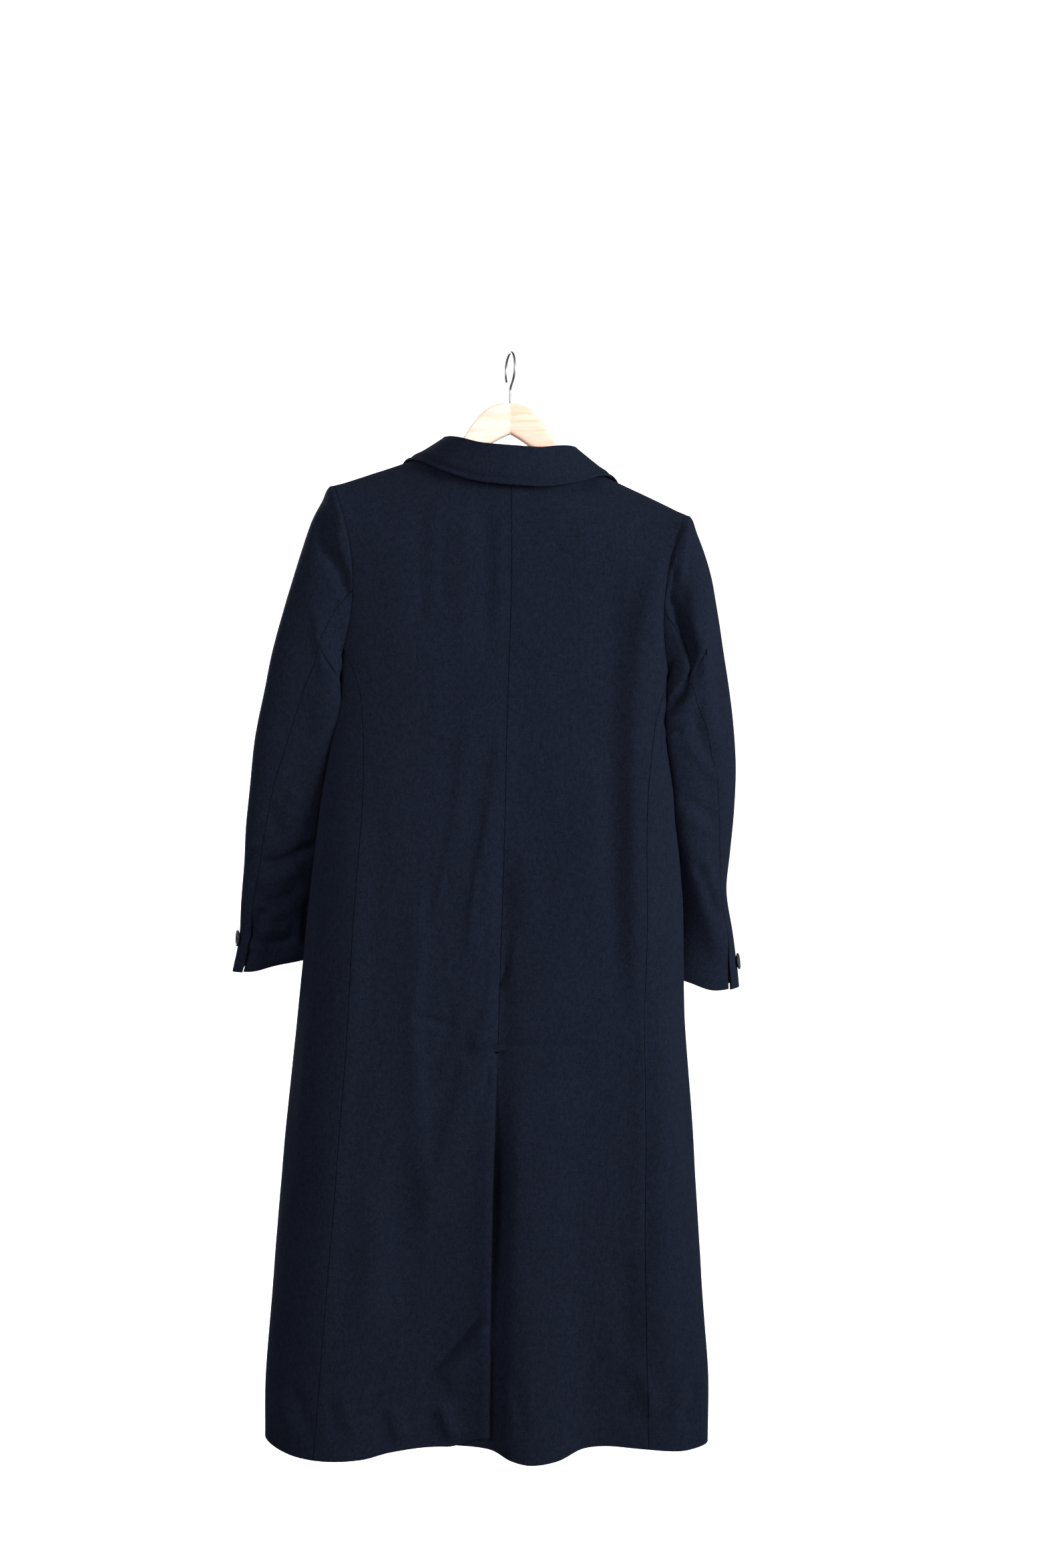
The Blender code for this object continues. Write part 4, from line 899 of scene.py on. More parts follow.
# The points of a sleeve's ring that lie farthest from and nearest to the body, its depth, how
# far its back and front are pulled in, how far it leans, and the angle of its hindarm seam
SLEEVE_COLUMNS = "station outer_x outer_z inner_x inner_z mid_y depth cup lean hind"
SLEEVES = {
    "left": Table(SLEEVE_COLUMNS, [
        (0, SHOULDER_X, SHOULDER_Z, UNDERARM_X, UNDERARM_Z, 0, ARMHOLE_DEPTH, ARMHOLE_CUP, 0, 95.5),
        (1, 0.2265, -0.1985, 0.2105, -0.424, 0.000, 0.0605, 0.013, 0.000, 102),
        (2, 0.2400, -0.223, 0.2125, -0.430, 0.000, 0.0600, 0.005, 0.000, 108),
        (3, 0.2520, -0.258, 0.2140, -0.438, 0.000, 0.0595, 0.001, 0.001, 108),
        (4, 0.2635, -0.297, 0.2150, -0.449, 0.001, 0.0590, 0.006, 0.003, 101),
        (5, 0.2750, -0.340, 0.2152, -0.463, 0.003, 0.0585, 0.012, 0.003, 92),
        (6, 0.2860, -0.387, 0.2162, -0.481, 0.006, 0.0580, 0.016, 0.002, 81),
        (7, 0.2955, -0.437, 0.2179, -0.505, 0.011, 0.0560, 0.019, 0.001, 73),
        (8, 0.3050, -0.492, 0.2206, -0.540, 0.018, 0.0540, 0.017, 0.000, 68),
        (9, 0.3100, -0.545, 0.2240, -0.583, 0.026, 0.0520, 0.009, 0.001, 64),
        (10, 0.3150, -0.598, 0.2260, -0.628, 0.035, 0.0500, 0.005, 0.000, 62),
        (11, 0.3170, -0.648, 0.2255, -0.668, 0.045, 0.0480, 0.002, 0.000, 58),
        (12, 0.3200, -0.697, 0.2230, -0.705, 0.056, 0.0450, 0.000, 0.000, 51),
        (13, 0.3220, -0.741, 0.2200, -0.736, 0.064, 0.0430, 0.000, 0.000, 47),
        (14, 0.3300, -0.783, 0.2180, -0.761, 0.069, 0.0425, 0.000, 0.000, 45),
    ]),
    "right": Table(SLEEVE_COLUMNS, [
        (0, SHOULDER_X, SHOULDER_Z, UNDERARM_X, UNDERARM_Z, 0, ARMHOLE_DEPTH, ARMHOLE_CUP, 0, 95.5),
        (1, 0.2255, -0.199, 0.2105, -0.424, 0.000, 0.0620, 0.013, 0.000, 102),
        (2, 0.2365, -0.224, 0.2125, -0.430, 0.000, 0.0630, 0.005, 0.000, 107),
        (3, 0.2470, -0.258, 0.2140, -0.438, 0.000, 0.0630, 0.002, 0.000, 108),
        (4, 0.2555, -0.297, 0.2150, -0.449, 0.001, 0.0620, 0.008, 0.000, 104),
        (5, 0.2640, -0.340, 0.2160, -0.463, 0.003, 0.0610, 0.011, 0.000, 98),
        (6, 0.2735, -0.387, 0.2163, -0.481, 0.006, 0.0590, 0.015, -0.003, 86),
        (7, 0.2822, -0.437, 0.2180, -0.505, 0.011, 0.0580, 0.018, -0.006, 74),
        (8, 0.2882, -0.492, 0.2207, -0.540, 0.018, 0.0560, 0.015, -0.008, 69),
        (9, 0.2885, -0.545, 0.2235, -0.583, 0.026, 0.0540, 0.010, -0.010, 70),
        (10, 0.2872, -0.598, 0.2240, -0.628, 0.035, 0.0520, 0.006, -0.010, 68),
        (11, 0.2870, -0.648, 0.2215, -0.668, 0.045, 0.0500, 0.003, -0.007, 60),
        (12, 0.2980, -0.697, 0.2170, -0.705, 0.055, 0.0470, 0.000, -0.003, 50),
        (13, 0.3078, -0.741, 0.2120, -0.736, 0.062, 0.0440, 0.000, 0.000, 46),
        (14, 0.3130, -0.778, 0.2080, -0.759, 0.067, 0.0430, 0.000, 0.000, 47),
    ]),
}
# Stations run from the armhole at 0 to the cuff; the elbow lies at 8
CUFF_STATION = 14
CUFF_VENT_STATION = 12
CUFF_FLARE = 0.004
CUFF_FLARE_REACH = 0.030
CUFF_EDGE_REACH = 0.055
# Dips and rises of the cuff's edge: place and half width across it, and how far it rises
CUFF_EDGE = {
    "left": ((0.45, 0.35, -0.0036), (-1.0, 0.55, 0.0030)),
    "right": ((0.20, 0.45, -0.0060), (1.0, 0.35, 0.0034)),
}
HIND_SEAM_SHARE = 0.65
SLEEVE_STEP = 0.0030
SLEEVE_LENGTH = 0.60
SLEEVE_WAVES = (16.0, 0.0012)
SLEEVE_HELD_BY_SEAM = 0.010
FRONT_FOLD_SHARE = 0.8
# The head's roll over the seam, and the lie of the empty arm against the body
HEAD_ROLL = 0.0035
HEAD_ROLL_RISE = 0.006
HEAD_ROLL_CREST = 0.008
HEAD_ROLL_FALL = 0.012
ARM_LEAN = 0.0050
ARM_FLATNESS = {"left": 0.60, "right": 0.50}
ARM_TURN = {"left": -0.12, "right": 0.34}
ARM_SPILL = {"left": 0.014, "right": 0.018}
ARM_SPILL_BELOW = {"left": 0.007, "right": 0.014}
ARM_ROUND_BELOW = {"left": 0.0, "right": 0.8}
ARM_SPILL_LIFT = {"left": 0.004, "right": 0.003}
# Degrees round the sleeve, from the side farthest from the body towards the back
ARM_SPILL_ANGLE = 140.0
ARM_SPILL_WIDTH = 21.0
ARM_FILL_ANGLE = 138.0
ARM_FILL_WIDTH = 27.0
# Folds of the backs of the sleeves, given as those of the back are
SLEEVE_FOLDS = {
    "left": {
        "head": [
            (-6.0, 7, 9, (490, 765), (481, 790), (480, 812), (492, 835), (507, 855), (517, 880),
             (524, 905)),
            (2.2, 6, 7, (504, 790), (510, 815), (513, 835)),
            (-1.6, 4, 5, (530, 805), (531, 830), (530, 850)),
        ],
        "forearm and cuff": [
            (-2.4, 9, 10, (396, 1200), (410, 1228), (418, 1256)),
            (1.6, 9, 10, (446, 1180), (434, 1205), (428, 1225)),
            (1.8, 5, 6, (368, 1266), (380, 1267), (394, 1270)),
            (-5.4, 5, 7, (484, 1264), (455, 1272), (428, 1286), (408, 1294), (382, 1287)),
            (3.4, 9, 10, (458, 1300), (430, 1310), (405, 1320), (382, 1330)),
            (-2.0, 5, 6, (384, 1354), (415, 1350), (450, 1334)),
            (2.2, 7, 8, (398, 1376), (425, 1368), (446, 1356)),
            (-5.4, 6, 8, (394, 1358), (383, 1380), (375, 1398), (368, 1414)),
            (-4.0, 5, 6, (370, 1406), (395, 1415), (420, 1414), (444, 1402)),
            (2.2, 6, 6, (388, 1394), (410, 1392), (438, 1390)),
            (-3.2, 5, 6, (460, 1345), (456, 1380), (456, 1424)),
            (-3.0, 8, 6, (378, 1422), (367, 1436), (357, 1448)),
            (1.8, 8, 6, (382, 1446), (418, 1437), (452, 1426)),
        ],
    },
    "right": {
        "head": [
            (3.4, 5, 7, (1034, 780), (1026, 812), (1019, 860), (1012, 880)),
            (-4.0, 6, 8, (1012, 850), (1004, 880), (1000, 915)),
        ],
        "upper arm, slack over the body": [
            (-6.5, 5, 8, (998, 880), (1010, 915), (1026, 960), (1038, 1005), (1024, 1035),
             (1000, 1060), (984, 1080)),
            (3.4, 7, 8, (1022, 900), (1038, 950), (1048, 996), (1038, 1040), (1012, 1074)),
            (-2.4, 5, 6, (1024, 1100), (1004, 1094), (986, 1100)),
            (5.5, 9, 15, (1028, 850), (1042, 930), (1052, 990), (1056, 1060), (1058, 1130)),
        ],
        "elbow": [
            (-2.8, 6, 8, (1038, 1060), (1046, 1100), (1062, 1130), (1080, 1150)),
            (2.8, 6, 7, (1020, 1110), (1040, 1130), (1062, 1158), (1084, 1176)),
            (-2.6, 6, 7, (1016, 1196), (1044, 1206), (1074, 1232)),
            (2.4, 6, 8, (1014, 1216), (1040, 1230), (1070, 1256)),
        ],
        "forearm": [
            (-2.6, 6, 8, (1036, 1280), (1048, 1310), (1064, 1350), (1070, 1380)),
            (2.4, 6, 8, (1050, 1280), (1064, 1320), (1078, 1366)),
            (7.0, 14, 22, (1012, 1180), (1030, 1265), (1049, 1332), (1068, 1400), (1084, 1455)),
        ],
    },
}
# How far forward the backs of the sleeves hang, from the cuff up to the shoulder
SLEEVE_HEIGHTS = [-0.75, -0.60, -0.45, -0.30, -0.20]
SLEEVE_BACK_Y = [0.022, -0.018, -0.048, -0.060, -0.050]
sleeve_folds = {
    name: from_photo(folds, lambda height: np.interp(height, SLEEVE_HEIGHTS, SLEEVE_BACK_Y))
    for name, folds in SLEEVE_FOLDS.items()
}


def sleeve_point(name, station, angle):
    """Outer face of a sleeve: 0 farthest from the body, a right angle at the back."""
    read = {column: SLEEVES[name].read(column, station) for column in SLEEVES[name].columns[1:]}
    half_x = (read["outer_x"] - read["inner_x"]) / 2
    half_z = (read["outer_z"] - read["inner_z"]) / 2
    x = (read["outer_x"] + read["inner_x"]) / 2 + half_x * np.cos(angle)
    x = x - read["cup"] * np.sin(angle) ** 2 - read["lean"] * np.sin(angle)
    z = (read["outer_z"] + read["inner_z"]) / 2 + half_z * np.cos(angle)
    egg = ARMHOLE_EGG * np.clip(1 - station / 3, 0, 1)
    # Hung empty, it lies flat: the section grows from round to a long cushion
    flat = smooth((station - 1.0) / 4.0)
    flat = flat * (1 - ARM_ROUND_BELOW[name] * smooth((station - 9.0) / 3.0))
    flatness = ARM_FLATNESS[name] * flat + ARMHOLE_FLATNESS * (1 - smooth(station / 5.0))
    y = read["mid_y"] - read["depth"] * loop_depth(angle, flatness, egg)
    y = y + ARM_TURN[name] * half_x * np.cos(angle) * flat
    return np.stack([-x if name == "left" else x, y, z], -1)


def head_and_flare(points, station, angle):
    """Lift of a top sleeve: the head rolls over its seam, and the cuff flares at its vent."""
    crown = smooth(np.cos(angle) / 0.8 + 0.3)
    from_seam = edge_run(points, "top")
    past_crest = np.clip(from_seam - HEAD_ROLL_CREST, 0, 1)
    roll = smooth(from_seam / HEAD_ROLL_RISE) * bell(past_crest, HEAD_ROLL_FALL)
    opened = smooth((station - CUFF_VENT_STATION + 0.3) / 2.3)
    flare = opened * smooth(1 - edge_run(points, "end") / CUFF_FLARE_REACH)
    return HEAD_ROLL * crown * roll + CUFF_FLARE * flare


def spill_out(name, station, angle):
    """From the armhole to the elbow the slack cloth spills over the corner of the body."""
    below = ARM_SPILL_BELOW[name] * smooth((12.0 - station) / 2.0)
    spill = below + (ARM_SPILL[name] - below) * smooth((7.4 - station) / 2.4)
    spill = spill * smooth((station - 0.2) / 1.5)
    return spill * bell(np.degrees(angle) % 360 - ARM_SPILL_ANGLE, ARM_SPILL_WIDTH)


def fill_back(name, station, angle):
    """The spilt cloth also fills the back of the upper arm."""
    filled = bell(np.degrees(angle) % 360 - ARM_FILL_ANGLE, ARM_FILL_WIDTH)
    upper = smooth((station - 0.4) / 2.0) * smooth((9.5 - station) / 4.0)
    return ARM_SPILL_LIFT[name] * filled * upper


def sleeve_lift(name, points, normals, station):
    """Lift of the folds: the photograph's own on the back, the other arm's on the front."""
    facing_back = smooth(0.5 - normals[..., 1] / 0.8)
    lift = fold_lift(points[..., [0, 2]] * 1000, sleeve_folds[name]) * facing_back
    mirrored = points[..., [0, 2]] * [-1000, 1000]
    other = "right" if name == "left" else "left"
    facing_front = smooth(normals[..., 1] / 0.8 - 0.2) * smooth((station - 2.0) / 2.0)
    lift += fold_lift(mirrored, sleeve_folds[other]) * facing_front * FRONT_FOLD_SHARE
    lift += unevenness(points, *SLEEVE_WAVES) + unevenness(points, *FINE_WAVES)
    return lift * smooth(edge_run(points, "top") / SLEEVE_HELD_BY_SEAM)


hind = math.degrees(loop_angle(SHOULDER_Z + (SIDE_TOP_Z - SHOULDER_Z) * HIND_SEAM_SHARE))
low = math.degrees(loop_angle(SIDE_TOP_Z))
SLEEVE_HALVES = {"top": (360 - low, 360 + hind, 0.36), "under": (hind, 360 - low, 0.25)}
for name in SLEEVES:
    inwards = 1 if name == "left" else -1
    for half, (start, end, girth) in SLEEVE_HALVES.items():
        share, station = np.meshgrid(
            spread(girth, SLEEVE_STEP), CUFF_STATION * spread(SLEEVE_LENGTH, SLEEVE_STEP)
        )
        moved = SLEEVES[name].read("hind", station) - hind
        angle = start + (end - start) * share + moved * (share if half == "top" else 1 - share)
        angle = np.radians(angle)
        points = sleeve_point(name, station, angle)
        middle = (sleeve_point(name, station, 0.0) + sleeve_point(name, station, math.pi)) / 2
        points[0, :, 0] += inwards * SEAM_OVERLAP
        normals = grid_normals(points, points - middle)
        if half == "top":
            points += normals * head_and_flare(points, station, angle)[..., None]
        # Pressed flat, the cuff's edge dips and rises on its way across
        near_edge = smooth(1 - edge_run(points, "bottom") / CUFF_EDGE_REACH)
        for place, width, rise in CUFF_EDGE[name]:
            points[..., 2] += rise * bell(np.cos(angle) - place, width) * near_edge
        # The slack inner side of the sleeve leans against the body
        facing_in = smooth(0.2 - np.cos(angle)) * smooth((station - 1.0) / 2.5)
        points += normals * (ARM_LEAN * facing_in)[..., None]
        points[..., 0] += inwards * spill_out(name, station, angle)
        points[..., 1] -= fill_back(name, station, angle)
        points = hang(points)
        middle = hang(middle)
        normals = grid_normals(points, points - middle)
        points += normals * sleeve_lift(name, points, normals, station)[..., None]
        panel, flat, area = make_panel(
            "sleeve_" + half + "_" + name + "_cloth", points, points - middle,
            seams=("top", "start", "end"), free=("bottom",),
        )
        panel.data.materials.append(wool)
        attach(panel, "root")
        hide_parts("sleeve_" + half + "_" + name)


# The lapels
# The turned top of each front: the melton rolls over at the roll line and lies back on the
# chest, up to the gorge seam, with a turned and pressed edge.

LAPEL_LENGTH = 0.25
LAPEL_WIDTH = 0.10
GORGE_Z = -0.190
LAPEL_POINT = (0.148, -0.224)
LAPEL_BELLY = (0.112, -0.330)
LAPEL_LIFT = 0.0036
# The left lapel starts where the right one crosses it
CROSSING_Z = -0.366
LEFT_RIM_STARTS = 0.10
ROLL_ABOVE_BREAK = 0.012
RIM_START = (-FRONT_LAP + 0.007, BREAK_Z + 0.004)
ROLL_RADIUS = (LAPEL_LIFT + CLOTH) / 2
ROLL_STEPS = 11


def front_spot(x, height, side):
    """Outer face of a front at an x and a height."""
    across = np.full(np.shape(x), 0.5)
    for _ in range(14):
        top = top_edge(NECK_X + (SHOULDER_X - NECK_X) * across)
        down = np.clip((top - height) / (top - SIDE_TOP_Z), 0, 1)
        edge = armhole(loop_angle(SHOULDER_Z + (SIDE_TOP_Z - SHOULDER_Z) * down))[..., 0]
        inside = roll_line(NECK_Z + (SIDE_TOP_Z - NECK_Z) * down)
        across = np.clip((x - inside) / (edge - inside), 0, 1)
    upper = upper_point("front", side, across, down, inside)
    lower = ring_point("front", height, side * x)
    return np.where((height <= SIDE_TOP_Z)[..., None], lower, upper)


def front_facing(x, height, side):
    """Unit normal of a front's outer face."""
    along = front_spot(x, height + 0.004, side) - front_spot(x, height - 0.004, side)
    beside = front_spot(x + 0.003, height, side) - front_spot(x - 0.003, height, side)
    normal = np.cross(along, beside)
    normal /= np.linalg.norm(normal, axis=-1, keepdims=True)
    return normal * np.sign(normal[..., 1:2])


def lapel_rim(share):
    """Outer edge of a lapel, from just above the break round its belly to the point."""
    start = np.array(RIM_START)
    share = np.asarray(share)[..., None]
    bend = np.array(LAPEL_BELLY) * 2 * share * (1 - share)
    return start * (1 - share) ** 2 + bend + np.array(LAPEL_POINT) * share ** 2


for name, side in (("left", -1), ("right", 1)):
    lowest = CROSSING_Z if side == -1 else BREAK_Z + ROLL_ABOVE_BREAK
    rim_start = LEFT_RIM_STARTS if side == -1 else 0.0
    share = spread(LAPEL_LENGTH)
    height = lowest + (GORGE_Z - lowest) * share
    x = roll_line(height)
    sink = under_lap(x, height)[:, None] if side == -1 else 0.0
    normal = front_facing(x, height, side)
    base = front_spot(x, height, side) - normal * (sink + CLOTH)
    outwards = base - front_spot(x + 0.01, height - 0.0035, side)
    outwards /= np.linalg.norm(outwards, axis=-1, keepdims=True)
    outwards -= normal * np.sum(outwards * normal, axis=-1, keepdims=True)
    outwards /= np.linalg.norm(outwards, axis=-1, keepdims=True)
    centre = base + normal * ROLL_RADIUS + outwards * 0.0004
    columns = []
    for turn_share in np.linspace(0, 1, ROLL_STEPS):
        angle = math.pi * turn_share
        arm = outwards * math.sin(angle) - normal * math.cos(angle)
        columns.append(centre + arm * ROLL_RADIUS)
    rim = lapel_rim(rim_start + (1 - rim_start) * share)
    for out_share in spread(LAPEL_WIDTH)[3:]:
        place_x = x + (rim[:, 0] - x) * out_share
        place_z = height + (rim[:, 1] - height) * out_share
        sunk = under_lap(place_x, place_z)[:, None] if side == -1 else 0.0
        facing = front_facing(place_x, place_z, side)
        columns.append(front_spot(place_x, place_z, side) + facing * (LAPEL_LIFT - sunk))
    points = hang(np.stack(columns, 1))
    away = np.zeros_like(points)
    away[:, ROLL_STEPS + 3:, 1] = 1.0
    panel, flat, area = make_panel(
        "lapel_" + name + "_cloth", points, away, free=("top", "bottom", "end")
    )
    panel.data.materials.append(wool)
    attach(panel, "root")
    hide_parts("lapel_" + name)


# The collar
# One folded piece of melton over an under-collar, sewn round the neck: the stand rises
# inside, rolls over and falls on the back. Its edge is bagged out and pressed hard, which
# leaves a soft trough a few millimetres above it.

# From the centre back at 0 to the notch at 1: the seam at its foot, the top of its roll, its
# outer edge, how far the fall arches between them, and how far its end sags
COLLAR_COLUMNS = "along foot_x foot_y foot_z roll_x roll_y roll_z edge_x edge_y edge_z arch sag"
COLLAR = Table(COLLAR_COLUMNS, [
    (0.00, 0.000, -0.0620, -0.1486, 0.000, -0.0650, -0.1264, 0.000, -0.0765, -0.1765, 0.003, 0.0),
    (0.22, 0.034, -0.0572, -0.1468, 0.033, -0.0590, -0.1245, 0.045, -0.0720, -0.1735, 0.003, 0.0),
    (0.40, 0.061, -0.0440, -0.1420, 0.056, -0.0430, -0.1180, 0.084, -0.0580, -0.1615, 0.003, 0.0),
    (0.53, 0.079, -0.0258, -0.1358, 0.071, -0.0220, -0.1135, 0.110, -0.0350, -0.1480, 0.001, 0.0),
    (0.64, 0.086, 0.0000, -0.1278, 0.077, 0.0020, -0.1125, 0.1285, -0.0060, -0.1436, 0.000, 0.0),
    (0.78, 0.0795, 0.0330, -0.1465, 0.079, 0.0300, -0.1265, 0.137, 0.0230, -0.1535, 0.004, 0.0),
    (0.92, 0.0680, 0.0520, -0.1760, 0.068, 0.0540, -0.1660, 0.131, 0.0420, -0.1740, 0.006, 0.008),
    (1.00, 0.0660, 0.0560, -0.1885, 0.066, 0.0600, -0.1790, 0.129, 0.0490, -0.1810, 0.006, 0.026),
])
COLLAR_LENGTH = 0.46
COLLAR_STAND = 0.020
COLLAR_FALL = 0.055
COLLAR_STEP = 0.0025
COLLAR_ROLL = 0.0034
COLLAR_ROLL_STEPS = 13
COLLAR_WAVES = (22.0, 0.0007)
NOTCH_SHARE = 0.65
# Lift, distance from the edge and half width: the pressed trough, and the swell on each side
COLLAR_TROUGH = 0.0072
COLLAR_PRESSED = [
    (-0.0018, COLLAR_TROUGH, 0.0019),
    (0.0012, 0.0030, 0.0030),
    (0.0010, COLLAR_TROUGH + 0.006, 0.005),
]

side_share = spread(COLLAR_LENGTH)
along = 2 * side_share - 1
side = np.where(along < 0, -1.0, 1.0)[:, None] * [1.0, 0.0, 0.0] + [0.0, 1.0, 1.0]
foot, roll, edge = (
    np.stack([COLLAR.read(place + "_" + axis, np.abs(along)) for axis in "xyz"], -1)
    for place in ("foot", "roll", "edge")
)
arch = COLLAR.read("arch", np.abs(along))[:, None]
sag = COLLAR.read("sag", np.abs(along))[:, None]
rise = roll - foot
rise /= np.linalg.norm(rise, axis=-1, keepdims=True)
fall = edge - roll
fall /= np.linalg.norm(fall, axis=-1, keepdims=True)
out = fall - rise * np.sum(fall * rise, axis=-1, keepdims=True)
out /= np.linalg.norm(out, axis=-1, keepdims=True)
crest = roll - rise * COLLAR_ROLL
columns = [foot + (crest - foot) * share for share in spread(COLLAR_STAND)[:-1]]
aways = [-out] * len(columns)
for turn_share in np.linspace(0, 1, COLLAR_ROLL_STEPS):
    angle = math.pi * turn_share
    arm = rise * math.sin(angle) - out * math.cos(angle)
    columns.append(crest + out * COLLAR_ROLL + arm * COLLAR_ROLL)
    aways.append(arm)
start = columns[-1]
level = edge - start
level /= np.linalg.norm(level, axis=-1, keepdims=True)
lifted = out - level * np.sum(out * level, axis=-1, keepdims=True)
lifted /= np.linalg.norm(lifted, axis=-1, keepdims=True)
for share in spread(COLLAR_FALL, COLLAR_STEP)[1:]:
    drop = sag * min(share / NOTCH_SHARE, (1 - share) / (1 - NOTCH_SHARE))
    bow = math.sin(math.pi * share) * arch
    columns.append(start + (edge - start) * share + lifted * bow - drop * [0.0, 0.0, 1.0])
    aways.append(lifted)
points = hang(np.stack(columns, 1) * side[:, None, :])
away = np.stack(aways, 1) * side[:, None, :]
normals = grid_normals(points, away)
run = edge_run(points, "end")
lift = unevenness(points, *COLLAR_WAVES) * smooth(edge_run(points, "start") / COLLAR_STAND)
for rise, place, half_width in COLLAR_PRESSED:
    lift += rise * bell(run - place, half_width)
points += normals * lift[..., None]
panel, flat, area = make_panel(
    "collar_cloth", points, away, free=("top", "bottom", "start", "end")
)
panel.data.materials.append(wool)
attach(panel, "root")
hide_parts("collar")


# The buttons
# Turned from dark horn, four holes, with a raised rim, sewn on with waxed navy thread: three
# down the front and one beside each cuff's vent.

FRONT_BUTTON_RADIUS = 0.0125
CUFF_BUTTON_RADIUS = 0.0105
BUTTON_THICKNESS = 0.0034
FRONT_BUTTON_STAND = 0.0018
CUFF_BUTTON_STAND = 0.0014
HOLE_SHARE = 0.24
HOLE_RADIUS_SHARE = 0.105
HOLE_DEPTH = 0.0016
HOLE_CHAMFER = 0.0004
FRONT_BUTTON_HEIGHTS = [-0.475, -0.600, -0.725]
CUFF_BUTTON_STATION = 13.0
CUFF_BUTTON_ANGLE = math.radians(14)
BUTTON_PROFILE = Table("share height", [
    (0.0, 0.66), (0.62, 0.68), (0.74, 0.76), (0.82, 0.96), (0.90, 1.0), (0.97, 0.86), (1.0, 0.5)
])
BUTTON_TURNS = 72
THREAD_RADIUS = 0.00026
THREAD_SIDES = 6
STRAND_SPACING = 0.00045


def horn():
    """Polished dark horn: streaked brown-black and glossy, its polish varying with the streaks."""
    material, tree, shader = new_material("polished dark horn")
    place = add_node(tree, "ShaderNodeTexCoord").outputs["Object"]
    # Horn's growth streaks are about 1.5 mm apart
    streaks = add_node(
        tree, "ShaderNodeTexNoise", {"Scale": 300.0, "Detail": 4.0, "Distortion": 1.2},
        {"Vector": add_node(
            tree, "ShaderNodeMapping", {"Scale": (0.25, 1.0, 1.0)}, {"Vector": place}
        ).outputs["Vector"]},
    )
    tinted = add_node(
        tree, "ShaderNodeMix", {"data_type": "RGBA", 6: linear("15161c"), 7: linear("2a2a31")},
        {0: streaks.outputs["Fac"]},
    )
    polish = add_node(
        tree, "ShaderNodeMapRange", {"To Min": 0.34, "To Max": 0.52},
        {"Value": streaks.outputs["Fac"]},
    )
    tree.links.new(tinted.outputs[2], shader.inputs["Base Color"])
    tree.links.new(polish.outputs["Result"], shader.inputs["Roughness"])
    shader.inputs["IOR"].default_value = 1.54
    shader.inputs["Specular IOR Level"].default_value = 0.25
    return material


def waxed_thread():
    """Twisted linen thread, waxed: dark navy with a dull shine."""
    material, tree, shader = new_material("waxed linen thread")
    place = add_node(tree, "ShaderNodeTexCoord").outputs["Object"]
    twist = add_node(
        tree, "ShaderNodeTexWave", {"Scale": 900.0, "Distortion": 1.0}, {"Vector": place}
    )
    tinted = add_node(
        tree, "ShaderNodeMix", {"data_type": "RGBA", 6: linear("12141d"), 7: linear("262a39")},
        {0: twist.outputs["Fac"]},
    )
    tree.links.new(tinted.outputs[2], shader.inputs["Base Color"])
    shader.inputs["Roughness"].default_value = 0.6
    return material


horn_finish = horn()
thread_finish = waxed_thread()


def turned_disc(radius, thickness):
    """Points and faces of a turned button that lies flat: its face with four holes, its back."""
    rings = np.concatenate([np.linspace(0.02, 0.60, 22), np.linspace(0.63, 1.0, 22)])
    turns = np.linspace(0, 2 * math.pi, BUTTON_TURNS, endpoint=False)
    ring, turn = np.meshgrid(rings, turns, indexing="ij")
    x = ring * radius * np.cos(turn)
    y = ring * radius * np.sin(turn)
    height = BUTTON_PROFILE.read("height", ring) * thickness
    for quarter in range(4):
        angle = math.pi / 4 + math.pi / 2 * quarter
        hole_x = radius * HOLE_SHARE * math.cos(angle)
        hole_y = radius * HOLE_SHARE * math.sin(angle)
        hole = np.hypot(x - hole_x, y - hole_y)
        height -= HOLE_DEPTH * smooth((radius * HOLE_RADIUS_SHARE - hole) / HOLE_CHAMFER + 0.5)
    ring, turn = np.meshgrid([0.97, 0.80, 0.4, 0.02], turns, indexing="ij")
    back_height = np.where(ring > 0.9, 0.25, 0.0) * thickness
    points = np.concatenate([
        np.stack([x, y, height], -1),
        np.stack([ring * radius * np.cos(turn), ring * radius * np.sin(turn), back_height], -1),
    ])
    index = np.arange(points.shape[0] * BUTTON_TURNS).reshape(-1, BUTTON_TURNS)
    around = np.roll(index, -1, axis=1)
    faces = np.stack([index[:-1], index[1:], around[1:], around[:-1]], -1).reshape(-1, 4).tolist()
    return points.reshape(-1, 3), faces + [index[0].tolist(), index[-1][::-1].tolist()]


def lay_strand(sewing, line, facing):
    """A round strand of thread along a line of places, closed at both ends."""
    loops = []
    for place, ahead in zip(line, np.gradient(line, axis=0)):
        ahead = Vector(ahead).normalized()
        beside = ahead.cross(Vector(facing)).normalized()
        above = beside.cross(ahead)
        loop = []
        for side in range(THREAD_SIDES):
            turn = 2 * math.pi * side / THREAD_SIDES
            out = beside * math.cos(turn) + above * math.sin(turn)
            loop.append(sewing.verts.new(Vector(place) + out * THREAD_RADIUS))
        loops.append(loop)
    for here, following in zip(loops, loops[1:]):
        for side in range(THREAD_SIDES):
            beyond = (side + 1) % THREAD_SIDES
            sewing.faces.new((here[side], here[beyond], following[beyond], following[side]))
    sewing.faces.new(loops[0][::-1])
    sewing.faces.new(loops[-1])


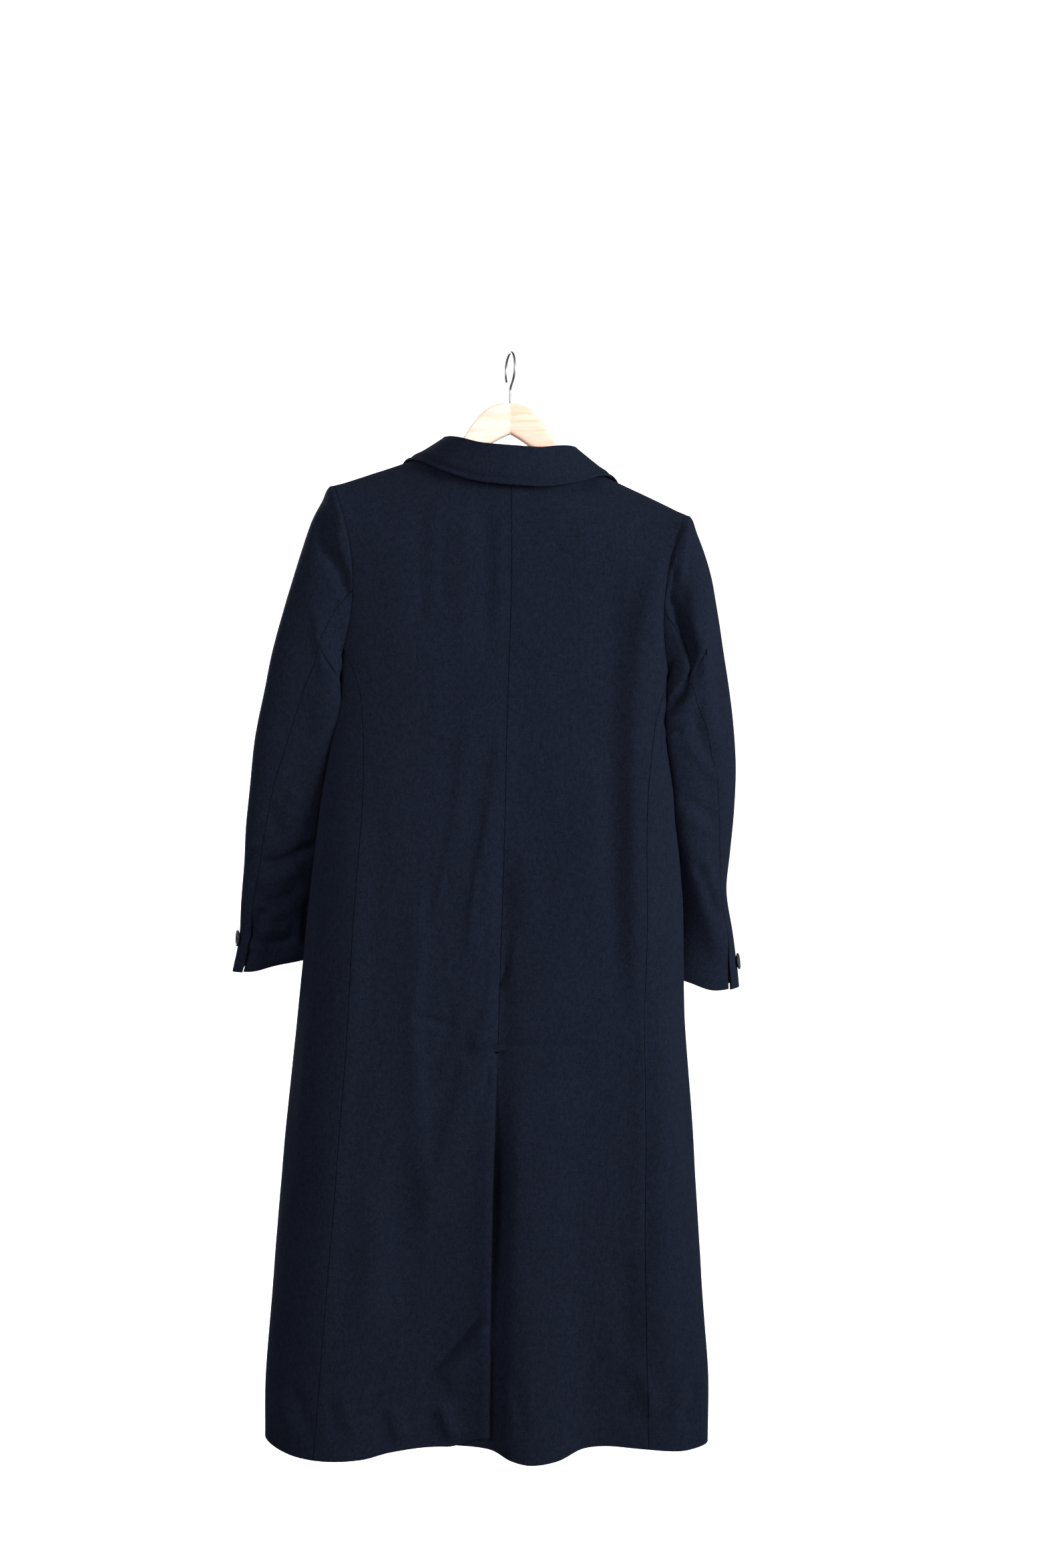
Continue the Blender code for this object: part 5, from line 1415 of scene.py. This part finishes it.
def make_button(name, radius, centre, facing):
    """A turned button, sewn on with two crossed runs of three strands each."""
    thickness = BUTTON_THICKNESS * radius / FRONT_BUTTON_RADIUS
    turned = np.array(Vector((0.0, 0.0, 1.0)).rotation_difference(Vector(facing)).to_matrix()).T
    points, faces = turned_disc(radius, thickness)
    mesh = bpy.data.meshes.new(name)
    mesh.from_pydata((points @ turned + centre).tolist(), [], faces)
    mesh.shade_smooth()
    mesh.materials.append(horn_finish)
    button = new_object(name + "_horn", mesh)
    sewing = bmesh.new()
    for run in range(2):
        angle = math.pi / 4 + math.pi / 2 * run
        for strand in (-1, 0, 1):
            path = np.linspace(-1, 1, 9)
            along = path * radius * HOLE_SHARE
            rise = thickness * 0.70 + 0.0007 * (1 - path ** 4) - 0.0012 * (path ** 8)
            offset = strand * STRAND_SPACING
            line = np.stack([
                along * math.cos(angle) - offset * math.sin(angle),
                along * math.sin(angle) + offset * math.cos(angle),
                rise + run * 0.0003,
            ], -1)
            lay_strand(sewing, line @ turned + centre, facing)
    bmesh.ops.recalc_face_normals(sewing, faces=sewing.faces)
    thread_mesh = bpy.data.meshes.new(name + "_thread")
    sewing.to_mesh(thread_mesh)
    sewing.free()
    thread_mesh.shade_smooth()
    thread_mesh.materials.append(thread_finish)
    thread = new_object(name + "_thread", thread_mesh)
    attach(button, "root")
    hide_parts(name)
    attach(thread, "root")


def normal_at(spot, first, second, step_first, step_second, away):
    """Unit normal of a surface spot(first, second), on the side of away."""
    along = spot(first + step_first, second) - spot(first - step_first, second)
    beside = spot(first, second + step_second) - spot(first, second - step_second)
    normal = np.cross(along, beside)
    normal /= np.linalg.norm(normal)
    return normal if normal @ away > 0 else -normal


front_spot_at = partial(ring_point, "front")
for index, height in enumerate(FRONT_BUTTON_HEIGHTS):
    point = front_spot_at(height, 0.0)
    normal = normal_at(front_spot_at, height, 0.0, 0.004, 0.002, np.array([0.0, 1.0, 0.0]))
    make_button(
        "front_button_" + str(index + 1), FRONT_BUTTON_RADIUS,
        hang(point + normal * FRONT_BUTTON_STAND), normal,
    )
for name in SLEEVES:
    sleeve_spot_at = partial(sleeve_point, name)
    point = sleeve_spot_at(CUFF_BUTTON_STATION, CUFF_BUTTON_ANGLE)
    outermost, innermost = (sleeve_spot_at(CUFF_BUTTON_STATION, turn) for turn in (0.0, math.pi))
    away = point - (outermost + innermost) / 2
    normal = normal_at(
        sleeve_spot_at, CUFF_BUTTON_STATION, CUFF_BUTTON_ANGLE, 0.25, 0.05, away
    )
    make_button(
        "cuff_button_" + name, CUFF_BUTTON_RADIUS,
        hang(point + normal * CUFF_BUTTON_STAND), normal,
    )


# The hanger
# Two arms of pale beech, bookmatched and glued at the middle, shaped on a spindle moulder
# and sealed with a thin clear varnish that leaves the grain to show.

APEX_Z = -0.0607
ARM_END = 0.206
ARM_CLEARANCE = 0.0006
JOINT_GAP = 0.0003
ARM_SIDES = 40
ARM_SLOPE_DEGREES = 26


def arm_top(x):
    """Top of a hanger arm, just under the cloth of the shoulder."""
    cloth = CLOTH * math.hypot(1.0, SHOULDER_SLOPE)
    return NECK_Z - (x - NECK_X) * SHOULDER_SLOPE - cloth - ARM_CLEARANCE


# Top and bottom of an arm and half its thickness, from the glued joint to the arm's end
HANGER = Table("x top bottom half_thickness", [
    (0.000, APEX_Z, -0.0985, 0.0075), (0.012, -0.0618, -0.1050, 0.0075),
    (0.024, -0.0665, -0.1125, 0.0075), (0.036, -0.0765, -0.1190, 0.0075),
    (0.047, -0.0905, -0.1250, 0.0076), (0.056, -0.1050, -0.1320, 0.0078),
    (0.070, -0.1235, -0.1430, 0.0080), (0.082, -0.1318, -0.1500, 0.0080),
    (0.096, arm_top(0.096), -0.1560, 0.0085), (0.120, arm_top(0.120), -0.1660, 0.0090),
    (0.150, arm_top(0.150), -0.1780, 0.0095), (0.180, arm_top(0.180), -0.1890, 0.0095),
    (ARM_END, arm_top(ARM_END), -0.2000, 0.0090),
])


def beech(name, side):
    """Varnished beech: cream, with a straight grain that follows the arm and short darker
    flecks, under a clear coat."""
    material, tree, shader = new_material(name)
    place = add_node(tree, "ShaderNodeTexCoord").outputs["Object"]
    lean = add_node(
        tree, "ShaderNodeMapping",
        {"Rotation": (0.0, math.radians(ARM_SLOPE_DEGREES * side), 0.0), "Scale": (0.10, 1.0, 1.0)},
        {"Vector": place},
    )
    # Beech grain lines are 1.5 to 4 mm apart
    rings = add_node(
        tree, "ShaderNodeTexNoise", {"Scale": 170.0, "Detail": 4.0, "Distortion": 0.6},
        {"Vector": lean.outputs["Vector"]},
    )
    flecks = add_node(
        tree, "ShaderNodeTexNoise", {"Scale": 900.0, "Detail": 2.0},
        {"Vector": lean.outputs["Vector"]},
    )
    pale, dark = ("f6d9cb", "edc7b3") if side < 0 else ("f4cbb7", "e7b59b")
    tinted = add_node(
        tree, "ShaderNodeMix", {"data_type": "RGBA", 6: linear(pale), 7: linear(dark)},
        {0: add_node(
            tree, "ShaderNodeMapRange", {"From Min": 0.42, "From Max": 0.72},
            {"Value": rings.outputs["Fac"]},
        ).outputs["Result"]},
    )
    fleck_share = add_node(
        tree, "ShaderNodeMapRange", {"From Min": 0.62, "From Max": 0.80, "To Max": 0.35},
        {"Value": flecks.outputs["Fac"]},
    )
    flecked = add_node(
        tree, "ShaderNodeMix", {"data_type": "RGBA", 7: linear("c99a66")},
        {0: fleck_share.outputs["Result"], 6: tinted.outputs[2]},
    )
    pores = add_node(
        tree, "ShaderNodeBump", {"Strength": 0.15, "Distance": 0.0003},
        {"Height": flecks.outputs["Fac"]},
    )
    tree.links.new(flecked.outputs[2], shader.inputs["Base Color"])
    tree.links.new(pores.outputs["Normal"], shader.inputs["Normal"])
    shader.inputs["Roughness"].default_value = 0.45
    shader.inputs["IOR"].default_value = 1.5
    shader.inputs["Coat Weight"].default_value = 0.35
    shader.inputs["Coat Roughness"].default_value = 0.18
    return material


for name, side in (("left", -1), ("right", 1)):
    places = np.concatenate([np.linspace(0.0, 0.1, 51), np.linspace(0.103, ARM_END, 36)])
    place, step = np.meshgrid(places, np.arange(ARM_SIDES), indexing="ij")
    top = HANGER.read("top", place)
    bottom = HANGER.read("bottom", place)
    # Nearly square in section at the middle, nearly oval along the arms
    bluntness = 0.45 + 0.45 * smooth((place - 0.05) / 0.03)
    angle = 2 * math.pi * (step + 0.5) / ARM_SIDES
    lean = np.sign(np.cos(angle)) * np.abs(np.cos(angle)) ** bluntness
    rise = np.sign(np.sin(angle)) * np.abs(np.sin(angle)) ** bluntness
    points = hang(np.stack([
        side * (place + JOINT_GAP / 2),
        HANGER.read("half_thickness", place) * lean,
        (top + bottom) / 2 + (top - bottom) / 2 * rise,
    ], -1))
    index = np.arange(points.shape[0] * ARM_SIDES).reshape(-1, ARM_SIDES)
    around = np.roll(index, -1, axis=1)
    faces = np.stack([index[:-1], around[:-1], around[1:], index[1:]], -1).reshape(-1, 4).tolist()
    faces += [index[0][::-1].tolist(), index[-1].tolist()]
    mesh = bpy.data.meshes.new("hanger_" + name + "_wood")
    mesh.from_pydata(points.reshape(-1, 3).tolist(), [], faces)
    turn_outward(mesh)
    mesh.shade_smooth()
    mesh.set_sharp_from_angle(angle=math.radians(50))
    mesh.materials.append(beech("varnished beech, " + name + " arm", side))
    arm = new_object("hanger_" + name + "_wood", mesh)
    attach(arm, "root")
    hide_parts("hanger_" + name)


# The hook
# One piece of 3.2 mm steel wire, bent over a former and chromed, screwed into the joint of
# the two arms. It swivels in the wood.

HOOK_WIRE = 0.0016
HOOK_RADIUS = 0.0200
HOOK_YAW = math.radians(17)
HOOK_TIP_ANGLE = math.radians(-35)
HOOK_HEEL_ANGLE = math.radians(205)
BEND_STEPS = 48
NECK_STEPS = 16
STEM_TOP_Z = -0.0465


def chromed_wire():
    """Bright chrome on drawn steel wire: mirror-like, with faint draw lines and haze."""
    material, tree, shader = new_material("chromed steel wire")
    place = add_node(tree, "ShaderNodeTexCoord").outputs["Object"]
    # Draw marks 0.2 mm apart, drawn at 1 mm so that they show
    marks = add_node(
        tree, "ShaderNodeTexNoise", {"Scale": 900.0, "Detail": 2.0},
        {"Vector": add_node(
            tree, "ShaderNodeMapping", {"Scale": (1.0, 1.0, 0.1)}, {"Vector": place}
        ).outputs["Vector"]},
    )
    haze = add_node(
        tree, "ShaderNodeMapRange", {"To Min": 0.34, "To Max": 0.48},
        {"Value": marks.outputs["Fac"]},
    )
    tree.links.new(haze.outputs["Result"], shader.inputs["Roughness"])
    shader.inputs["Base Color"].default_value = linear("86878b")
    shader.inputs["Metallic"].default_value = 1.0
    return material


across_hook = Vector((math.sin(HOOK_YAW), -math.cos(HOOK_YAW), 0.0))
bend_centre = HOOK_WIRE - HOOK_RADIUS
path = []
for step in range(BEND_STEPS + 1):
    angle = HOOK_TIP_ANGLE + (HOOK_HEEL_ANGLE - HOOK_TIP_ANGLE) * step / BEND_STEPS
    reach = -HOOK_RADIUS * math.cos(angle)
    rise = bend_centre + HOOK_RADIUS * math.sin(angle)
    path.append(across_hook * reach + Vector((0.0, 0.0, rise)))
last = path[-1]
foot = Vector((0.0, 0.0, STEM_TOP_Z))
pull = (path[-1] - path[-2]).normalized()
reach = (foot - last).length
for step in range(1, NECK_STEPS + 1):
    share = step / NECK_STEPS
    first = last + pull * reach * 0.45
    second = foot + Vector((0.0, 0.0, 1.0)) * reach * 0.35
    path.append(
        last * (1 - share) ** 3 + first * 3 * share * (1 - share) ** 2
        + second * 3 * share ** 2 * (1 - share) + foot * share ** 3
    )
path.append(Vector((0.0, 0.0, APEX_Z + JOINT_GAP)))
curve = bpy.data.curves.new("hook_wire", "CURVE")
curve.dimensions = "3D"
curve.bevel_depth = HOOK_WIRE
curve.bevel_resolution = 6
curve.use_fill_caps = True
spline = curve.splines.new("POLY")
spline.points.add(len(path) - 1)
for point, place in zip(spline.points, path):
    point.co = (*place, 1.0)
curve.materials.append(chromed_wire())
hook = new_object("hook_wire", curve)
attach(hook, "root")
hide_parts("hook")


# The studio
# A white paper sweep that the coat hangs in front of. Soft light falls from a window on the
# right, a pale card on the left fills the shadows, and a second window stands before the coat.

FLOOR_Z = -1.90
SWEEP_Y = 3.2
SWEEP_RADIUS = 1.2
SWEEP_HALF_WIDTH = 6.0
SWEEP_NEAR_Y = -5.0
SWEEP_TOP_Z = 3.5
SWEEP_STEPS = 24
ROOM_LIGHT_BEHIND = 0.26
ROOM_LIGHT_BEFORE = 0.30
LENS_MM = 35.29
SENSOR_MM = 36.0
profile_points = [(SWEEP_NEAR_Y, FLOOR_Z), (SWEEP_Y - SWEEP_RADIUS, FLOOR_Z)]
for step in range(1, SWEEP_STEPS + 1):
    angle = math.pi / 2 * step / SWEEP_STEPS
    profile_points.append((
        SWEEP_Y - SWEEP_RADIUS + SWEEP_RADIUS * math.sin(angle),
        FLOOR_Z + SWEEP_RADIUS - SWEEP_RADIUS * math.cos(angle),
    ))
profile_points.append((SWEEP_Y, SWEEP_TOP_Z))
corners = [
    (x, y, z) for x in (-SWEEP_HALF_WIDTH, SWEEP_HALF_WIDTH) for y, z in profile_points
]
count = len(profile_points)
mesh = bpy.data.meshes.new("paper_sweep")
mesh.from_pydata(corners, [], [(i, i + count, i + count + 1, i + 1) for i in range(count - 1)])
mesh.shade_smooth()
paper, tree, shader = new_material("matt white paper")
fibres = add_node(tree, "ShaderNodeTexNoise", {"Scale": 3.0, "Detail": 2.0})
tone = add_node(
    tree, "ShaderNodeMix", {"data_type": "RGBA", 6: linear("f4f4f4"), 7: linear("fafafa")},
    {0: fibres.outputs["Fac"]},
)
tree.links.new(tone.outputs[2], shader.inputs["Base Color"])
shader.inputs["Roughness"].default_value = 0.9
shader.inputs["Emission Color"].default_value = (1.0, 1.0, 1.0, 1.0)
shader.inputs["Emission Strength"].default_value = 1.0
mesh.materials.append(paper)
sweep = new_object("paper_sweep", mesh)
sweep.visible_diffuse = False
sweep.visible_glossy = False
sweep.visible_shadow = False

world = bpy.data.worlds.new("studio")
bpy.context.scene.world = world
world.use_nodes = True
room = world.node_tree.nodes["Background"]
room.inputs["Color"].default_value = (1.0, 1.0, 1.0, 1.0)
direction = add_node(world.node_tree, "ShaderNodeTexCoord").outputs["Generated"]
forward = add_node(
    world.node_tree, "ShaderNodeSeparateXYZ", {}, {"Vector": direction}
).outputs["Y"]
room_strength = add_node(
    world.node_tree, "ShaderNodeMapRange",
    {"From Min": 0.4, "From Max": -1.0, "To Min": ROOM_LIGHT_BEHIND, "To Max": ROOM_LIGHT_BEFORE},
    {"Value": forward},
)
world.node_tree.links.new(room_strength.outputs["Result"], room.inputs["Strength"])
backdrop = add_node(world.node_tree, "ShaderNodeBackground", {"Strength": 1.05})
seen = add_node(world.node_tree, "ShaderNodeLightPath").outputs["Is Camera Ray"]
both = add_node(
    world.node_tree, "ShaderNodeMixShader", {},
    {0: seen, 1: room.outputs["Background"], 2: backdrop.outputs["Background"]},
)
world.node_tree.links.new(
    both.outputs["Shader"], world.node_tree.nodes["World Output"].inputs["Surface"]
)


def soft_box(name, place, target, width, height, power, spread_degrees=180.0):
    """A rectangular soft light that faces a target, with a grid that narrows its beam."""
    light = bpy.data.lights.new(name, "AREA")
    light.shape = "RECTANGLE"
    light.size = width
    light.size_y = height
    light.energy = power
    light.spread = math.radians(spread_degrees)
    lamp = new_object(name, light)
    lamp.location = place
    lamp.rotation_mode = "QUATERNION"
    lamp.rotation_quaternion = (Vector(target) - Vector(place)).to_track_quat("-Z", "Y")
    lamp.visible_camera = False


soft_box(
    "window_right", place=(3.05, -1.90, 0.00), target=(0.1, 0.0, -0.38),
    width=1.4, height=2.0, power=55.0, spread_degrees=80.0,
)
soft_box(
    "card_left", place=(-1.7, -1.7, 0.3), target=(-0.1, 0.0, -0.45),
    width=1.5, height=1.5, power=40.0,
)
soft_box(
    "window_before", place=(-1.9, 2.6, 0.4), target=(0.0, 0.0, -0.60),
    width=1.3, height=1.6, power=85.0,
)

camera_data = bpy.data.cameras.new("camera")
camera_data.lens = LENS_MM
camera_data.sensor_width = SENSOR_MM
camera = new_object("camera", camera_data)
camera.location = (CAMERA_X, CAMERA_Y, CAMERA_Z)
camera.rotation_euler = (math.pi / 2, 0.0, 0.0)
bpy.context.scene.camera = camera
bpy.context.scene.view_settings.view_transform = "Standard"
